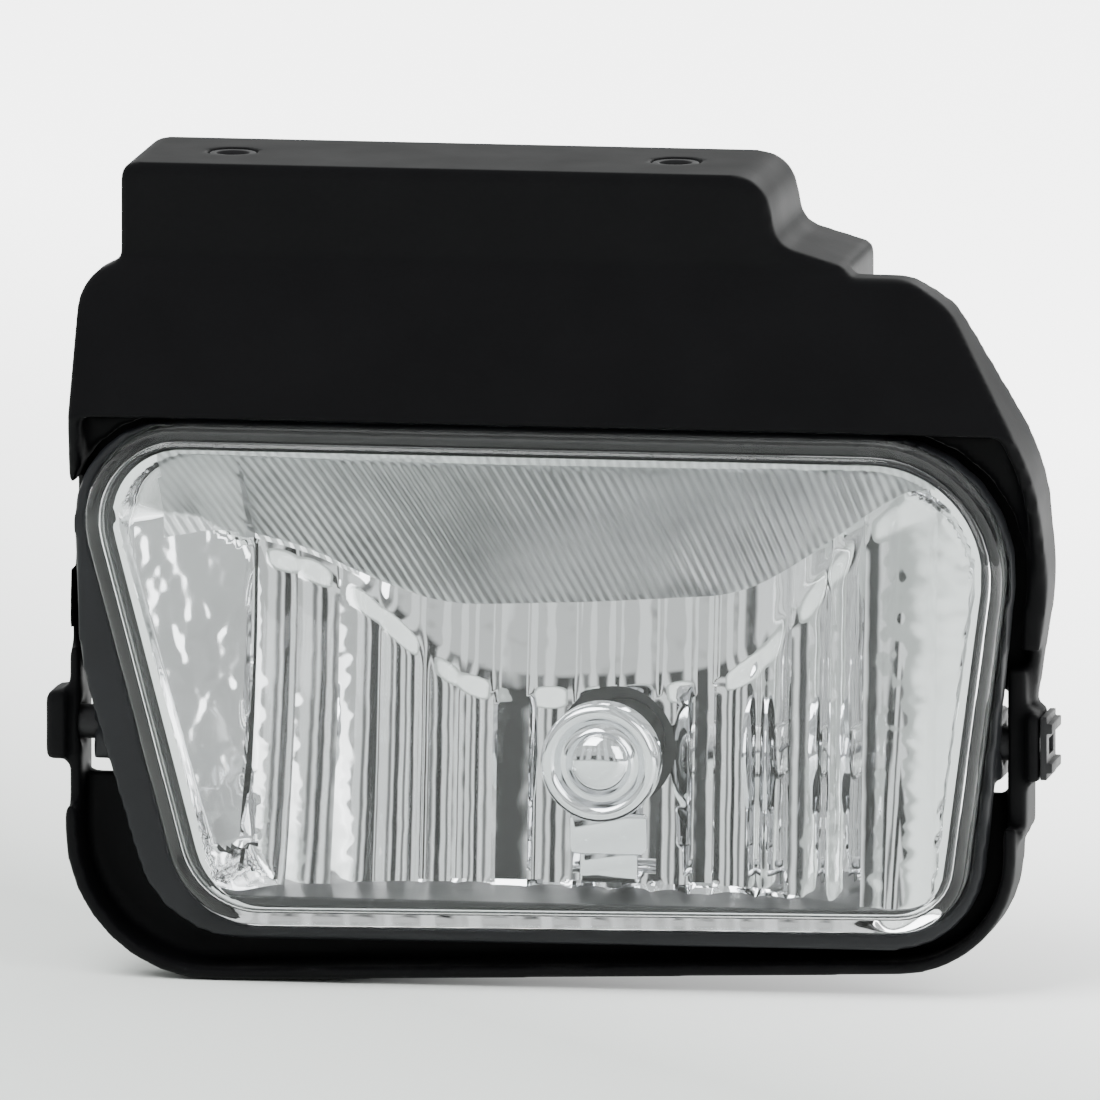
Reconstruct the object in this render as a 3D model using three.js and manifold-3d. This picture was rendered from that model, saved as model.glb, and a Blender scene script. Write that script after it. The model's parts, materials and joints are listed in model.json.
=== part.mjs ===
// Front fog light: a trapezoidal lamp that tilts in a hooded mounting bracket.
// Millimetres. +Z is up, the lens faces -Y and +X is the right-hand side seen from the front.
// Inside the `fogLight` group the lens front plane is Y = 0; the group is shifted so that the
// origin of the finished object lies in the middle of the bracket's mounting shelf.
import * as THREE from 'three';
import { mergeVertices } from 'three/addons/utils/BufferGeometryUtils.js';
import Module from 'manifold-3d';

const wasm = await Module();
wasm.setup();

// ---------------------------------------------------------------- driving dimensions
const clearance = 0.3;        // air between pieces that seat on each other
const swingClearance = 1.8;   // air between the tilting lamp and the bracket

// Lens outline: half widths at the corners, heights, and corner radii.
const lensTop = 48.6;
const lensBottom = -51;
const lensTopLeft = -97.5;
const lensTopRight = 97.8;
const lensBottomLeft = -71.3;
const lensBottomRight = 85;
const lensWall = 2.6;
const lensSkirt = 10;         // depth of the lens from its front plane
const lensEdgeRound = 3;

// Lamp housing
const rimFront = 8.5;         // Y of the front edge of the rim
const rimRear = 14;
const housingWall = 2.4;
const housingVertex = 51;     // Y where the housing's bowl closes
const reflectorVertex = 45;
const reflectorWall = 1.8;
const ceilingFront = 47;      // height of the reflector's ceiling at its front edge
const ceilingSlope = 1.12;    // fall of the ceiling for each mm of depth
const ceilingStart = 8;
const bowlPower = 0.2;          // 0.5 is a parabola, less is a squarer bowl
const reflectorFloor = -43.8;    // level of the reflector's flat floor
const floorSpread = 9;        // how far the bowl would reach below that floor

const rimReachLeft = 6.2;     // how far the rim stands out beside the lens at its lower corners
const rimReachRight = 2.8;
const rimDrop = 4.5;          // and below it
const rimRise = 0.7;
const channelWall = 1.4;
const channelFloor = 12;
const collarWall = 2.6;
const portFront = 40;
const portRear = 58;
const lugDepth = 7;
const pinDepth = 8.5;
const slotReach = 2.6;
const screwBossRear = 51;
const screwTip = 41;
const reflectorScrewPlaces = [[-40, -28], [-30, 2], [58, -24]];
const ventX = 40;
const ventZ = -20;
const ventFront = 56;
const ventRadius = 6;

// Bulb axis and sizes
const bulbX = 10.8;
const bulbZ = -18.8;
const bulbCapsuleRadius = 5.5;
const bulbPortRadius = 14;
const bulbLugReach = 2.6;
const shieldRadius = 12;
const shieldFront = 12;

const bulbHoleRadius = 10;
const baseFront = 46;
const capRadius = 17.5;
const capRear = 62;
const socketRear = 78;
const socketWidth = 18;
const socketDrop = 24;
const socketDepth = 17;
const socketWall = 2;
const bladeY = 70;
const grooveY = 51;
const grooveWidth = 3;
const grooveDepth = 2.4;
const lugFront = 47.5;
const ferruleRadius = 8;
const ferruleFront = 38;
const capsuleFront = 18.5;
const capsuleRear = 46;
const filamentY = 26;
const shieldDepth = 8;
const leadSpacing = 3.2;
const legX = bulbX + 1.4;
const legY = shieldFront + 6;
const footZ = reflectorFloor + clearance;
const footY = legY + 7;
const rivetRadius = 1.6;

// Pivot axis (runs along X)
const pivotY = 19.3;
const pivotZ = -13.5;
const pivotPinRadius = 3.5;
const pivotBoss = 14;         // size of the square bosses and ears
const earReach = 4.4;          // how far the ears stand out beside the bracket
const pivotBossRoot = 66;     // where the lamp's pivot bosses start inside its wall
const bossGap = 2.4;          // air between the lamp's pivot bosses and the bracket
const clipDepth = 1.6;

// Bracket
const bracketWall = 2.6;
const armTop = 2;
const frameHalfWidth = 97.2;
const frameSlope = 3.2;       // rise of the frame's bottom from its middle to either side
const frameBottom = -62;
const frameFront = 9;
const frameRear = 24;
const lipOverlap = 2.5;       // how far the lower lip reaches in behind the lamp's rim
const earTip = frameHalfWidth + earReach;
const bossTip = frameHalfWidth - bracketWall - bossGap;   // outer end of the pivot bosses
const hoodFront = 6.5;        // Y of the hood's lower front edge
const hoodTop = 79.5;
const hoodGap = 1.4;          // from the lens top up to the hood's edge
const hoodRear = 30;
const hoodTopRight = 72;      // X where the hood's top turns down on the right
const hoodBulge = 4.6;        // how far the right cheek swells beyond the frame
const curtainFront = 21.4;    // Y of the wall that closes the hood and frame behind the rim
const curtainSideReach = 6.5; // how far that wall reaches in at the sides
const curtainTopReach = 5;
const pivotWindow = 10.5;     // half height of its gap for the lamp's pivot bosses
const cheekFront = 14;        // Y of the walls that close the hood's corners beside the lamp
const hoodTopY = 21;
const shelfTop = 99.6;
const shelfLeft = -87.8;
const shelfRight = 42.8;
const stepRight = 59.5;        // right end of the step below the shelf
const stepTop = 81.4;
const shelfFront = 22;
const shelfRear = 61;
const boltSpacing = 90;
const boltRadius = 3.3;
const sleeveWall = 1.5;
const mountX = -23;
const mountY = (shelfFront + shelfRear) / 2;

// Aim adjuster (screw along Y above the lamp)
const adjusterX = bulbX;
const adjusterZ = 32;
const adjusterRadius = 3;
const nutY = 45;
const nutLength = 9;
const nutSize = 11;
const nutPinRadius = 2.6;
const forkClearance = 0.8;
const forkWall = 2.6;
const forkGap = nutSize + 2 * forkClearance;
const webRear = shelfRear;
const webWall = 3;
const webHalfWidth = 15;
const webDrop = 9;            // how far the web reaches below the screw
const webRibDepth = 16;
const webRibPlace = 10;
const webRibWall = 2.4;
const forkLength = 3.4;       // fork metal beyond the nut's pin
const forkRootLow = 4;
const forkRootHigh = 10;
const forkRootLead = 6;
const flangeGap = 0.4;
const clipY = webRear - webWall - 1.6;
const clipThickness = 1;

// ---------------------------------------------------------------- materials
function finish(color, roughness, metalness = 0) {
  return new THREE.MeshStandardMaterial({ color, roughness, metalness });
}

const blackMoulding = finish(0x19191a, 0.55);
const greyHousing = finish(0x3a3b3d, 0.5);
const aluminised = finish(0xd8d9da, 0.12, 1);
const chrome = finish(0xe8e8ea, 0.08, 1);
const zincSteel = finish(0xb9bbbd, 0.35, 0.9);
const blackSteel = finish(0x1c1c1e, 0.5, 0.6);
const clearPlastic = finish(0xf2f6f7, 0.05);
const clearGlass = finish(0xf6f8f8, 0.03);
const blackRubber = finish(0x121213, 0.85);
const basePlastic = finish(0x2a2a2c, 0.5);
const brass = finish(0xc9a55a, 0.3, 0.9);
const tungsten = finish(0x8c8c8e, 0.4, 0.9);
const whiteNylon = finish(0xe4e2da, 0.6);

// ---------------------------------------------------------------- solids
function solid(geometry) {
  const bare = geometry.clone();
  bare.deleteAttribute('normal');
  bare.deleteAttribute('uv');
  const merged = mergeVertices(bare, 1e-4);
  const vertProperties = new Float32Array(merged.attributes.position.array);
  const triVerts = new Uint32Array(merged.index.array);
  return new wasm.Manifold(new wasm.Mesh({ numProp: 3, vertProperties, triVerts }));
}

function join(...parts) {
  return parts.reduce((whole, part) => whole.add(part));
}

function cut(base, ...tools) {
  return tools.reduce((left, tool) => left.subtract(tool), base);
}

function geometryOf(manifold) {
  const mesh = manifold.getMesh();
  const geometry = new THREE.BufferGeometry();
  geometry.setAttribute('position', new THREE.BufferAttribute(mesh.vertProperties, 3));
  geometry.setIndex(new THREE.BufferAttribute(mesh.triVerts, 1));
  geometry.computeVertexNormals();
  return geometry;
}

// Points of a closed outline with rounded corners. `corners` holds [u, v, radius] anticlockwise.
// `inset` moves the edges inwards: one number, or one for each edge that follows a corner.
function roundedOutline(corners, inset = 0, steps = 6) {
  const count = corners.length;
  const shift = (i) => (Array.isArray(inset) ? inset[(i + count) % count] : inset);
  const at = (i) => new THREE.Vector2(...corners[(i + count) % count].slice(0, 2));
  const direction = (i) => at(i + 1).sub(at(i)).normalize();
  const points = [];
  for (let i = 0; i < count; i++) {
    const before = direction(i - 1);
    const after = direction(i);
    const turn = before.cross(after);
    const corner = at(i);
    corner.addScaledVector(after, shift(i - 1) / turn);
    corner.addScaledVector(before, -shift(i) / turn);
    const meanShift = (shift(i - 1) + shift(i)) / 2;
    const radius = Math.max(corners[i][2] - Math.sign(turn) * meanShift, 0.2);
    const angle = Math.atan2(turn, before.dot(after));
    const tangent = radius * Math.tan(Math.abs(angle) / 2);
    const start = corner.clone().addScaledVector(before, -tangent);
    const towards = new THREE.Vector2(-before.y, before.x).multiplyScalar(Math.sign(turn));
    const centre = start.clone().addScaledVector(towards, radius);
    const spoke = start.clone().sub(centre);
    for (let step = 0; step <= steps; step++) {
      const point = spoke.clone().rotateAround(new THREE.Vector2(), angle * step / steps);
      points.push(point.add(centre));
    }
  }
  return points;
}

// Prisms: an outline in the XZ or YZ plane, extruded along the third axis.
function prismY(points, from, to) {
  const shape = new THREE.Shape(points);
  const geometry = new THREE.ExtrudeGeometry(shape, { depth: to - from, bevelEnabled: false });
  geometry.rotateX(Math.PI / 2);
  geometry.translate(0, to, 0);
  return solid(geometry);
}

function prismX(points, from, to) {
  const shape = new THREE.Shape(points);
  const geometry = new THREE.ExtrudeGeometry(shape, { depth: to - from, bevelEnabled: false });
  geometry.rotateY(Math.PI / 2);
  geometry.rotateX(Math.PI / 2);
  geometry.translate(from, 0, 0);
  return solid(geometry);
}

function block(x0, x1, y0, y1, z0, z1) {
  const geometry = new THREE.BoxGeometry(x1 - x0, y1 - y0, z1 - z0);
  geometry.translate((x0 + x1) / 2, (y0 + y1) / 2, (z0 + z1) / 2);
  return solid(geometry);
}

function rodX(radius, x0, x1, y, z, sides = 24) {
  const geometry = new THREE.CylinderGeometry(radius, radius, x1 - x0, sides);
  geometry.rotateZ(Math.PI / 2);
  geometry.translate((x0 + x1) / 2, y, z);
  return solid(geometry);
}

function rodY(radius, y0, y1, x, z, sides = 24) {
  const geometry = new THREE.CylinderGeometry(radius, radius, y1 - y0, sides);
  geometry.translate(x, (y0 + y1) / 2, z);
  return solid(geometry);
}

function rodZ(radius, z0, z1, x, y, sides = 24) {
  const geometry = new THREE.CylinderGeometry(radius, radius, z1 - z0, sides);
  geometry.rotateX(Math.PI / 2);
  geometry.translate(x, y, (z0 + z1) / 2);
  return solid(geometry);
}

// A turned piece round an axis along Y through (x, z); the profile holds [radius, y] pairs.
function turnedY(profile, x, z, sides = 32) {
  const points = profile.map(([radius, y]) => new THREE.Vector2(radius, y));
  const geometry = new THREE.LatheGeometry(points, sides);
  geometry.translate(x, 0, z);
  return solid(geometry);
}

// A solid through a row of outlines with equal point counts, each at its own Y.
function loftY(sections) {
  const size = sections[0].points.length;
  const positions = [];
  const index = [];
  for (const { points, y } of sections) {
    for (const point of points) {
      positions.push(point.x, y, point.y);
    }
  }
  for (let s = 0; s + 1 < sections.length; s++) {
    for (let i = 0; i < size; i++) {
      const a = s * size + i;
      const b = s * size + (i + 1) % size;
      index.push(a, b, b + size, a, b + size, a + size);
    }
  }
  const last = (sections.length - 1) * size;
  for (const [a, b, c] of THREE.ShapeUtils.triangulateShape(sections[0].points, [])) {
    index.push(a, c, b);
  }
  for (const [a, b, c] of THREE.ShapeUtils.triangulateShape(sections.at(-1).points, [])) {
    index.push(last + a, last + b, last + c);
  }
  const geometry = new THREE.BufferGeometry();
  geometry.setAttribute('position', new THREE.Float32BufferAttribute(positions, 3));
  geometry.setIndex(index);
  return solid(flipIfInsideOut(geometry));
}

function flipIfInsideOut(geometry) {
  const position = geometry.attributes.position;
  const index = geometry.index.array;
  const corner = (i) => new THREE.Vector3().fromBufferAttribute(position, index[i]);
  let volume = 0;
  for (let i = 0; i < index.length; i += 3) {
    volume += corner(i).dot(corner(i + 1).cross(corner(i + 2)));
  }
  if (volume < 0) {
    for (let i = 0; i < index.length; i += 3) {
      [index[i + 1], index[i + 2]] = [index[i + 2], index[i + 1]];
    }
  }
  return geometry;
}

const fogLight = new THREE.Group();

function addPiece(name, manifold, material) {
  const mesh = new THREE.Mesh(geometryOf(manifold), material);
  mesh.name = name;
  fogLight.add(mesh);
}

// ---------------------------------------------------------------- shared outlines
// [X, Z, radius] of each corner: bottom left, bottom right, top right, top left.
const lensCorners = [
  [lensBottomLeft, lensBottom - 1, 19],
  [lensBottomRight, lensBottom + 1, 14],
  [lensTopRight, lensTop, 27],
  [lensTopLeft, lensTop, 19],
];

// The housing's rim stands out beyond the lens at the sides and below it.
const rimCorners = [
  [lensBottomLeft - rimReachLeft, lensBottom - rimDrop, 22],
  [lensBottomRight + rimReachRight, lensBottom - rimDrop + 1, 19],
  [lensTopRight + 0.6, lensTop + rimRise, 27],
  [lensTopLeft + 1.5, lensTop + rimRise, 20],
  [lensTopLeft + 3.6, 0, 60],
];

// Outline of the reflector and housing bowls at a depth, drawn in towards the bulb axis.
function bowlOutline(inset, vertex, y) {
  const spread = (Math.max(vertex - y, 0) / (vertex - rimFront)) ** bowlPower;
  const insets = [inset - floorSpread, inset, inset, inset];
  return roundedOutline(lensCorners, insets).map((point) => new THREE.Vector2(
    bulbX + (point.x - bulbX) * spread,
    bulbZ + (point.y - bulbZ) * spread,
  ));
}

function bowl(inset, vertex, front, steps = 9) {
  const sections = [];
  const rear = vertex - 1.2;
  for (let i = 0; i <= steps; i++) {
    const y = rear - (rear - front) * (1 - i / steps) ** 1.6;
    sections.push({ points: bowlOutline(inset, vertex, y), y });
  }
  return loftY(sections);
}

// Everything below the sloping ceiling, raised by `offset` square to it.
function belowCeiling(offset) {
  const rise = offset * Math.hypot(1, ceilingSlope);
  const far = 120;
  const height = (y) => ceilingFront + rise - ceilingSlope * (y - ceilingStart);
  return prismX([
    new THREE.Vector2(-far, -far),
    new THREE.Vector2(far, -far),
    new THREE.Vector2(far, height(far)),
    new THREE.Vector2(ceilingStart, height(ceilingStart)),
    new THREE.Vector2(-far, height(ceilingStart)),
  ], -2 * far, 2 * far);
}

function aboveFloor(drop) {
  return block(-200, 200, -200, 200, reflectorFloor - drop, 200);
}

// Everything straight behind the lens outline, drawn in by `inset`.
function withinLens(inset) {
  return prismY(roundedOutline(lensCorners, inset), -20, 120);
}

// ---------------------------------------------------------------- lens and reflector
function lens() {
  const outer = loftY([
    { points: roundedOutline(lensCorners, lensEdgeRound), y: 0 },
    { points: roundedOutline(lensCorners, lensEdgeRound * 0.3), y: lensEdgeRound * 0.3 },
    { points: roundedOutline(lensCorners, 0), y: lensEdgeRound },
    { points: roundedOutline(lensCorners, 0), y: lensSkirt },
  ]);
  const inner = loftY([
    { points: roundedOutline(lensCorners, lensWall + lensEdgeRound), y: lensWall },
    { points: roundedOutline(lensCorners, lensWall), y: lensWall + lensEdgeRound },
    { points: roundedOutline(lensCorners, lensWall), y: lensSkirt + 1 },
  ]);
  return cut(outer, inner);
}

function lensSeal() {
  const depth = channelFloor - clearance - lensSkirt - clearance;
  const from = lensSkirt + clearance;
  const outer = prismY(roundedOutline(lensCorners, 0.2), from, from + depth);
  const inner = prismY(roundedOutline(lensCorners, lensWall - 0.2), from - 1, from + depth + 1);
  return cut(outer, inner);
}

function reflector() {
  const inset = lensWall + channelWall + 3 * clearance;
  const outer = bowl(inset, reflectorVertex, rimFront)
    .intersect(belowCeiling(0))
    .intersect(aboveFloor(reflectorWall))
    .intersect(withinLens(inset));
  const hollow = bowl(inset + reflectorWall, reflectorVertex - reflectorWall, rimFront - 2);
  const inner = hollow
    .intersect(belowCeiling(-reflectorWall))
    .intersect(aboveFloor(0))
    .intersect(withinLens(inset + reflectorWall));
  const bulbHole = rodY(bulbHoleRadius, filamentY, 70, bulbX, bulbZ);
  const rivetHole = rodZ(rivetRadius + clearance, -80, -30, legX, footY, 16);
  const room = housingCavity(clearance);
  const bosses = reflectorScrewPlaces.map(([x, z]) => rodY(3.6, 20, 70, x, z, 16).intersect(room));
  const bores = reflectorScrewPlaces.map(([x, z]) => rodY(1.9, screwTip - clearance, 70, x, z, 16));
  return cut(join(outer, ...bosses), inner, bulbHole, rivetHole, ...bores);
}

// ---------------------------------------------------------------- housing
const housingGap = 0.8;       // air between the reflector and the housing
const cavityInset = lensWall + channelWall + 3 * clearance - housingGap;

function housingCavity(shrink) {
  return bowl(cavityInset + shrink, housingVertex - housingWall - shrink, rimFront - 2)
    .intersect(belowCeiling(housingGap - shrink))
    .intersect(aboveFloor(reflectorWall + housingGap - shrink))
    .intersect(withinLens(cavityInset + shrink));
}

function lampHousing() {
  const outer = bowl(cavityInset - housingWall, housingVertex, rimRear - 3)
    .intersect(belowCeiling(housingGap + housingWall))
    .intersect(aboveFloor(reflectorWall + housingGap + housingWall))
    .intersect(withinLens(cavityInset - housingWall));
  const inner = housingCavity(0);
  const rim = prismY(roundedOutline(rimCorners, 0), rimFront, rimRear);
  const channelOuter = prismY(roundedOutline(lensCorners, -clearance), rimFront - 1, channelFloor);
  const channelInner = prismY(roundedOutline(lensCorners, lensWall + clearance), 0, rimRear + 2);
  const channel = cut(channelOuter, channelInner);
  const collar = rodY(bulbPortRadius + collarWall, portFront, portRear, bulbX, bulbZ, 36);
  const port = rodY(bulbPortRadius, portFront - 20, portRear + 1, bulbX, bulbZ, 36);
  const bosses = [-1, 1].map((side) => pivotBossBlock(side));
  const bossBores = [-1, 1].map((side) => pivotBore(side));
  const forks = [-1, 1].map((side) => forkPlate(side));
  const screwBosses = reflectorScrewPlaces.map(([x, z]) => rodY(5, 30, screwBossRear, x, z, 20));
  const ventBoss = rodY(ventRadius - 1.5, 20, ventFront - clearance, ventX, ventZ, 20);
  const body = cut(join(outer, rim, ...bosses, ...forks, collar, ventBoss, ...screwBosses), inner);
  const screwBores = reflectorScrewPlaces.map(([x, z]) => rodY(1.9, 30, screwBossRear + 1, x, z, 16));
  const ventBore = rodY(1.6, 10, ventFront + 1, ventX, ventZ, 16);
  return cut(body, channel, port, ...bossBores, ventBore, ...screwBores, ...lugSlots());
}

function pivotBossBlock(side) {
  const half = pivotBoss / 2;
  const from = side * pivotBossRoot;
  const to = side * bossTip;
  return block(
    Math.min(from, to), Math.max(from, to),
    pivotY - half + 2.5, pivotY + half, pivotZ - half, pivotZ + half,
  );
}

function pivotBore(side) {
  const from = side * (bossTip - pinDepth);
  const to = side * (bossTip + 2);
  return rodX(pivotPinRadius + clearance, Math.min(from, to), Math.max(from, to), pivotY, pivotZ);
}

function forkPlate(side) {
  const from = adjusterX + side * forkGap / 2;
  const to = from + side * forkWall;
  const halfLength = nutPinRadius + forkLength;
  const shape = [
    new THREE.Vector2(nutY - halfLength - forkRootLead, forkRootHigh),
    new THREE.Vector2(nutY + halfLength, forkRootLow),
    new THREE.Vector2(nutY + halfLength, adjusterZ + slotReach + halfLength),
    new THREE.Vector2(nutY - halfLength, adjusterZ + slotReach + halfLength),
  ];
  const plate = prismX(shape, Math.min(from, to), Math.max(from, to));
  const slot = prismX(slotOutline(), Math.min(from, to) - 1, Math.max(from, to) + 1);
  return cut(plate, slot);
}

// Upright slot for the nut's cross pin: it guides the pin along Y and leaves it free in Z.
function slotOutline() {
  const half = nutPinRadius + clearance;
  const low = adjusterZ - slotReach - half;
  const high = adjusterZ + slotReach + half;
  const round = half * 0.98;
  return roundedOutline([
    [nutY - half, low, round],
    [nutY + half, low, round],
    [nutY + half, high, round],
    [nutY - half, high, round],
  ]);
}

// Entry slots in the port for the bulb's three bayonet lugs.
function lugSlots() {
  const reach = bulbPortRadius + bulbLugReach * 0.6;
  return [0, 1, 2].map((i) => {
    const angle = i * 2 * Math.PI / 3;
    const x = bulbX + reach * Math.sin(angle);
    const z = bulbZ + reach * Math.cos(angle);
    return rodY(2.4, portRear - lugDepth, portRear + 1, x, z, 16);
  });
}

// ---------------------------------------------------------------- bulb
const basePortRadius = bulbPortRadius - clearance - 0.4;

function bulbBase() {
  const disc = rodY(basePortRadius, baseFront, portRear + clearance, bulbX, bulbZ, 36);
  const cap = rodY(capRadius, portRear + clearance, capRear, bulbX, bulbZ, 36);
  const socket = block(
    bulbX - socketWidth / 2, bulbX + socketWidth / 2,
    capRear - 1, socketRear, bulbZ - socketDrop, bulbZ + 7,
  );
  const mouth = block(
    bulbX - socketWidth / 2 + socketWall, bulbX + socketWidth / 2 - socketWall,
    capRear + 2, socketRear - socketWall, bulbZ - socketDrop - 1, bulbZ - socketDrop + socketDepth,
  );
  const groove = cut(
    rodY(capRadius, grooveY, grooveY + grooveWidth, bulbX, bulbZ, 36),
    rodY(basePortRadius - grooveDepth, grooveY - 1, grooveY + grooveWidth + 1, bulbX, bulbZ, 36),
  );
  const seat = rodY(ferruleRadius + clearance, baseFront - 1, baseFront + 3, bulbX, bulbZ);
  const leads = [-1, 1].map((side) => rodY(1, baseFront - 1, capRear - 2, bulbX + side * leadSpacing, bulbZ));
  const blades = [-1, 1].map((side) => bladeBlock(side, clearance));
  const base = join(cut(disc, groove), cap, socket, ...lugs());
  return cut(base, mouth, seat, ...leads, ...blades);
}

function lugs() {
  return [0, 1, 2].map((i) => {
    const angle = i * 2 * Math.PI / 3;
    const lug = block(-1.6, 1.6, lugFront, lugFront + 2.2, basePortRadius - 2, bulbPortRadius - 0.4);
    const turn = new THREE.Matrix4().makeRotationY(angle);
    turn.setPosition(bulbX, 0, bulbZ);
    return lug.transform(turn.elements.slice());
  });
}

function bladeBlock(side, grow) {
  const x = bulbX + side * 3;
  return block(
    x - 0.4 - grow, x + 0.4 + grow, bladeY - 1.4 - grow, bladeY + 1.4 + grow,
    bulbZ - socketDrop + 2, bulbZ + 2 + grow,
  );
}

function bulbCapsule() {
  const r = bulbCapsuleRadius;
  const profile = [
    [0, capsuleFront],
    [r * 0.6, capsuleFront + 1.1],
    [r * 0.92, capsuleFront + 3.2],
    [r, capsuleFront + 6],
    [r, capsuleRear],
    [r - 1, capsuleRear],
    [r - 1, capsuleFront + 6.4],
    [r * 0.6, capsuleFront + 2.8],
    [0, capsuleFront + 2],
  ];
  return turnedY(profile, bulbX, bulbZ, 24);
}

function bulbFerrule() {
  const profile = [
    [bulbCapsuleRadius + clearance, ferruleFront],
    [ferruleRadius, ferruleFront],
    [ferruleRadius, baseFront + 2.6],
    [2, baseFront + 2.6],
    [2, baseFront + 1.6],
    [bulbCapsuleRadius + clearance, baseFront + 1.6],
  ];
  const ring = turnedY([...profile, profile[0]], bulbX, bulbZ, 24);
  const leads = [-1, 1].map((side) => rodY(1, baseFront, capRear, bulbX + side * leadSpacing, bulbZ, 12));
  return cut(ring, ...leads);
}

function bulbFilament() {
  const half = leadSpacing - 0.7;
  return rodX(0.7, bulbX - half, bulbX + half, filamentY, bulbZ, 10);
}

function leadWire(side) {
  const x = bulbX + side * leadSpacing;
  return rodY(0.35, filamentY - 1, baseFront + 5, x, bulbZ, 8);
}

function bulbSealRing() {
  const section = (grooveWidth - 2 * clearance) / 2;
  const centre = basePortRadius - grooveDepth + clearance + section;
  const profile = [];
  for (let i = 0; i <= 10; i++) {
    const angle = i * 2 * Math.PI / 10;
    profile.push([centre + section * Math.cos(angle), grooveY + grooveWidth / 2 + section * Math.sin(angle)]);
  }
  return turnedY(profile, bulbX, bulbZ, 32);
}

// ---------------------------------------------------------------- bulb shield
function bulbShield() {
  const r = shieldRadius;
  const profile = [
    [0, shieldFront],
    [r * 0.55, shieldFront + 0.8],
    [r * 0.7, shieldFront + 2],
    [r - 1.2, shieldFront + 1.6],
    [r, shieldFront + 2.6],
    [r, shieldFront + shieldDepth],
    [r - 1, shieldFront + shieldDepth],
    [r - 1, shieldFront + 3.6],
    [0, shieldFront + 3.2],
  ];
  const cup = turnedY(profile, bulbX, bulbZ, 32);
  const neck = block(legX - 7.8, legX + 7.8, legY, legY + 1.2, bulbZ - r - 6, bulbZ - r + 0.8);
  const leg = block(legX - 5.8, legX + 5.8, legY, legY + 1.2, footZ, bulbZ - r - 5);
  const foot = block(legX - 5.8, legX + 5.8, legY, footY + 4, footZ, footZ + 1.2);
  const hole = rodZ(rivetRadius + clearance, footZ - 2, footZ + 3, legX, footY, 16);
  return cut(join(cup, neck, leg, foot), hole);
}

function shieldRivet() {
  const head = rodZ(rivetRadius + 1.6, footZ + 1.2 + clearance, footZ + 2.9, legX, footY, 16);
  const shank = rodZ(rivetRadius, reflectorFloor - reflectorWall + 0.1, footZ + 2, legX, footY, 16);
  return join(head, shank);
}

// ---------------------------------------------------------------- bracket
// Front view of the upper shell: hood with a long curve on the right, and a vertical left side.
function hoodOutline(inset) {
  return roundedOutline([
    [-frameHalfWidth, -12, 1],
    [frameHalfWidth, -12, 1],
    [frameHalfWidth + hoodBulge, 19, 50],
    [frameHalfWidth + 2.4, 43, 45],
    [hoodTopRight + 9, hoodTop - 5.5, 14],
    [hoodTopRight, hoodTop, 10],
    [-frameHalfWidth + 1.5, hoodTop, 9],
  ], inset, 5);
}

function hoodSide() {
  return [
    [hoodFront, lensTop + hoodGap],
    [11, 30],
    [21, -8],
    [25, -8],
    [hoodRear - 2, 18],
    [hoodRear, 50],
    [hoodRear, hoodTop],
    [hoodTopY, hoodTop],
  ].map(([y, z]) => new THREE.Vector2(y, z));
}

function shelfOutline(inset) {
  return roundedOutline([
    [shelfLeft, hoodTop - 12, 1],
    [stepRight, hoodTop - 12, 1],
    [stepRight, stepTop, 2],
    [shelfRight + 2.5, stepTop + 4.2, 5],
    [shelfRight, shelfTop, 8],
    [shelfLeft, shelfTop, 3],
  ], inset, 5);
}

function upperShell() {
  const outer = prismY(hoodOutline(0), 0, 80).intersect(prismX(hoodSide(), -120, 120));
  const slope = (hoodTop - lensTop - hoodGap) / (hoodTopY - hoodFront);
  const back = bracketWall * Math.hypot(1, 1 / slope);
  const open = -30;
  const walls = [open, ...Array(6).fill(bracketWall)];
  const hollow = prismY(hoodOutline(walls), 0, 80);
  const room = prismX([
    new THREE.Vector2(hoodFront - 10 + back, -20),
    new THREE.Vector2(80, -20),
    new THREE.Vector2(80, hoodTop - bracketWall),
    new THREE.Vector2(hoodTopY + back, hoodTop - bracketWall),
    new THREE.Vector2(hoodFront + back, lensTop + hoodGap),
    new THREE.Vector2(hoodFront - 10 + back, lensTop + hoodGap),
  ], -120, 120);
  const cheeks = cut(
    prismY(hoodOutline(0), cheekFront, cheekFront + bracketWall),
    block(-120, 120, 0, 60, -120, armTop + 4),
    block(-120, 120, 0, 60, lensTop + hoodGap, 200),
  );
  const curtain = cut(
    prismY(hoodOutline(0), curtainFront, curtainFront + bracketWall),
    block(-120, 120, 0, 60, -120, armTop - 1),
    curtainOpening(),
  );
  return join(cut(join(cut(outer, hollow.intersect(room)), cheeks), lampOpening()), curtain);
}

// The gap in the wall behind the rim that the lamp's bowl passes through.
function curtainOpening() {
  const reach = [
    lipOverlap, curtainSideReach, curtainTopReach, curtainSideReach, curtainSideReach,
  ];
  return prismY(roundedOutline(rimCorners, reach), 0, 60);
}

// Room for the lamp: its rim outline grown by the swing clearance.
function lampOpening() {
  const grown = [
    -swingClearance, -swingClearance, rimRise - hoodGap, -swingClearance, -swingClearance,
  ];
  return prismY(roundedOutline(rimCorners, grown), -10, curtainFront);
}

function shelf() {
  const outer = prismY(shelfOutline(0), shelfFront, shelfRear);
  const walls = [-10, bracketWall, bracketWall, bracketWall, bracketWall, bracketWall];
  const inner = prismY(shelfOutline(walls), shelfFront + bracketWall, shelfRear + 1);
  const bosses = [-1, 1].map((side) => rodZ(
    boltRadius + sleeveWall + 3, shelfTop - 9, shelfTop - 1, mountX + side * boltSpacing / 2, mountY,
  ));
  const bores = [-1, 1].map((side) => rodZ(
    boltRadius + sleeveWall + clearance, shelfTop - 10, shelfTop + 1,
    mountX + side * boltSpacing / 2, mountY,
  ));
  return { outer, inner, bosses, bores };
}

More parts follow.
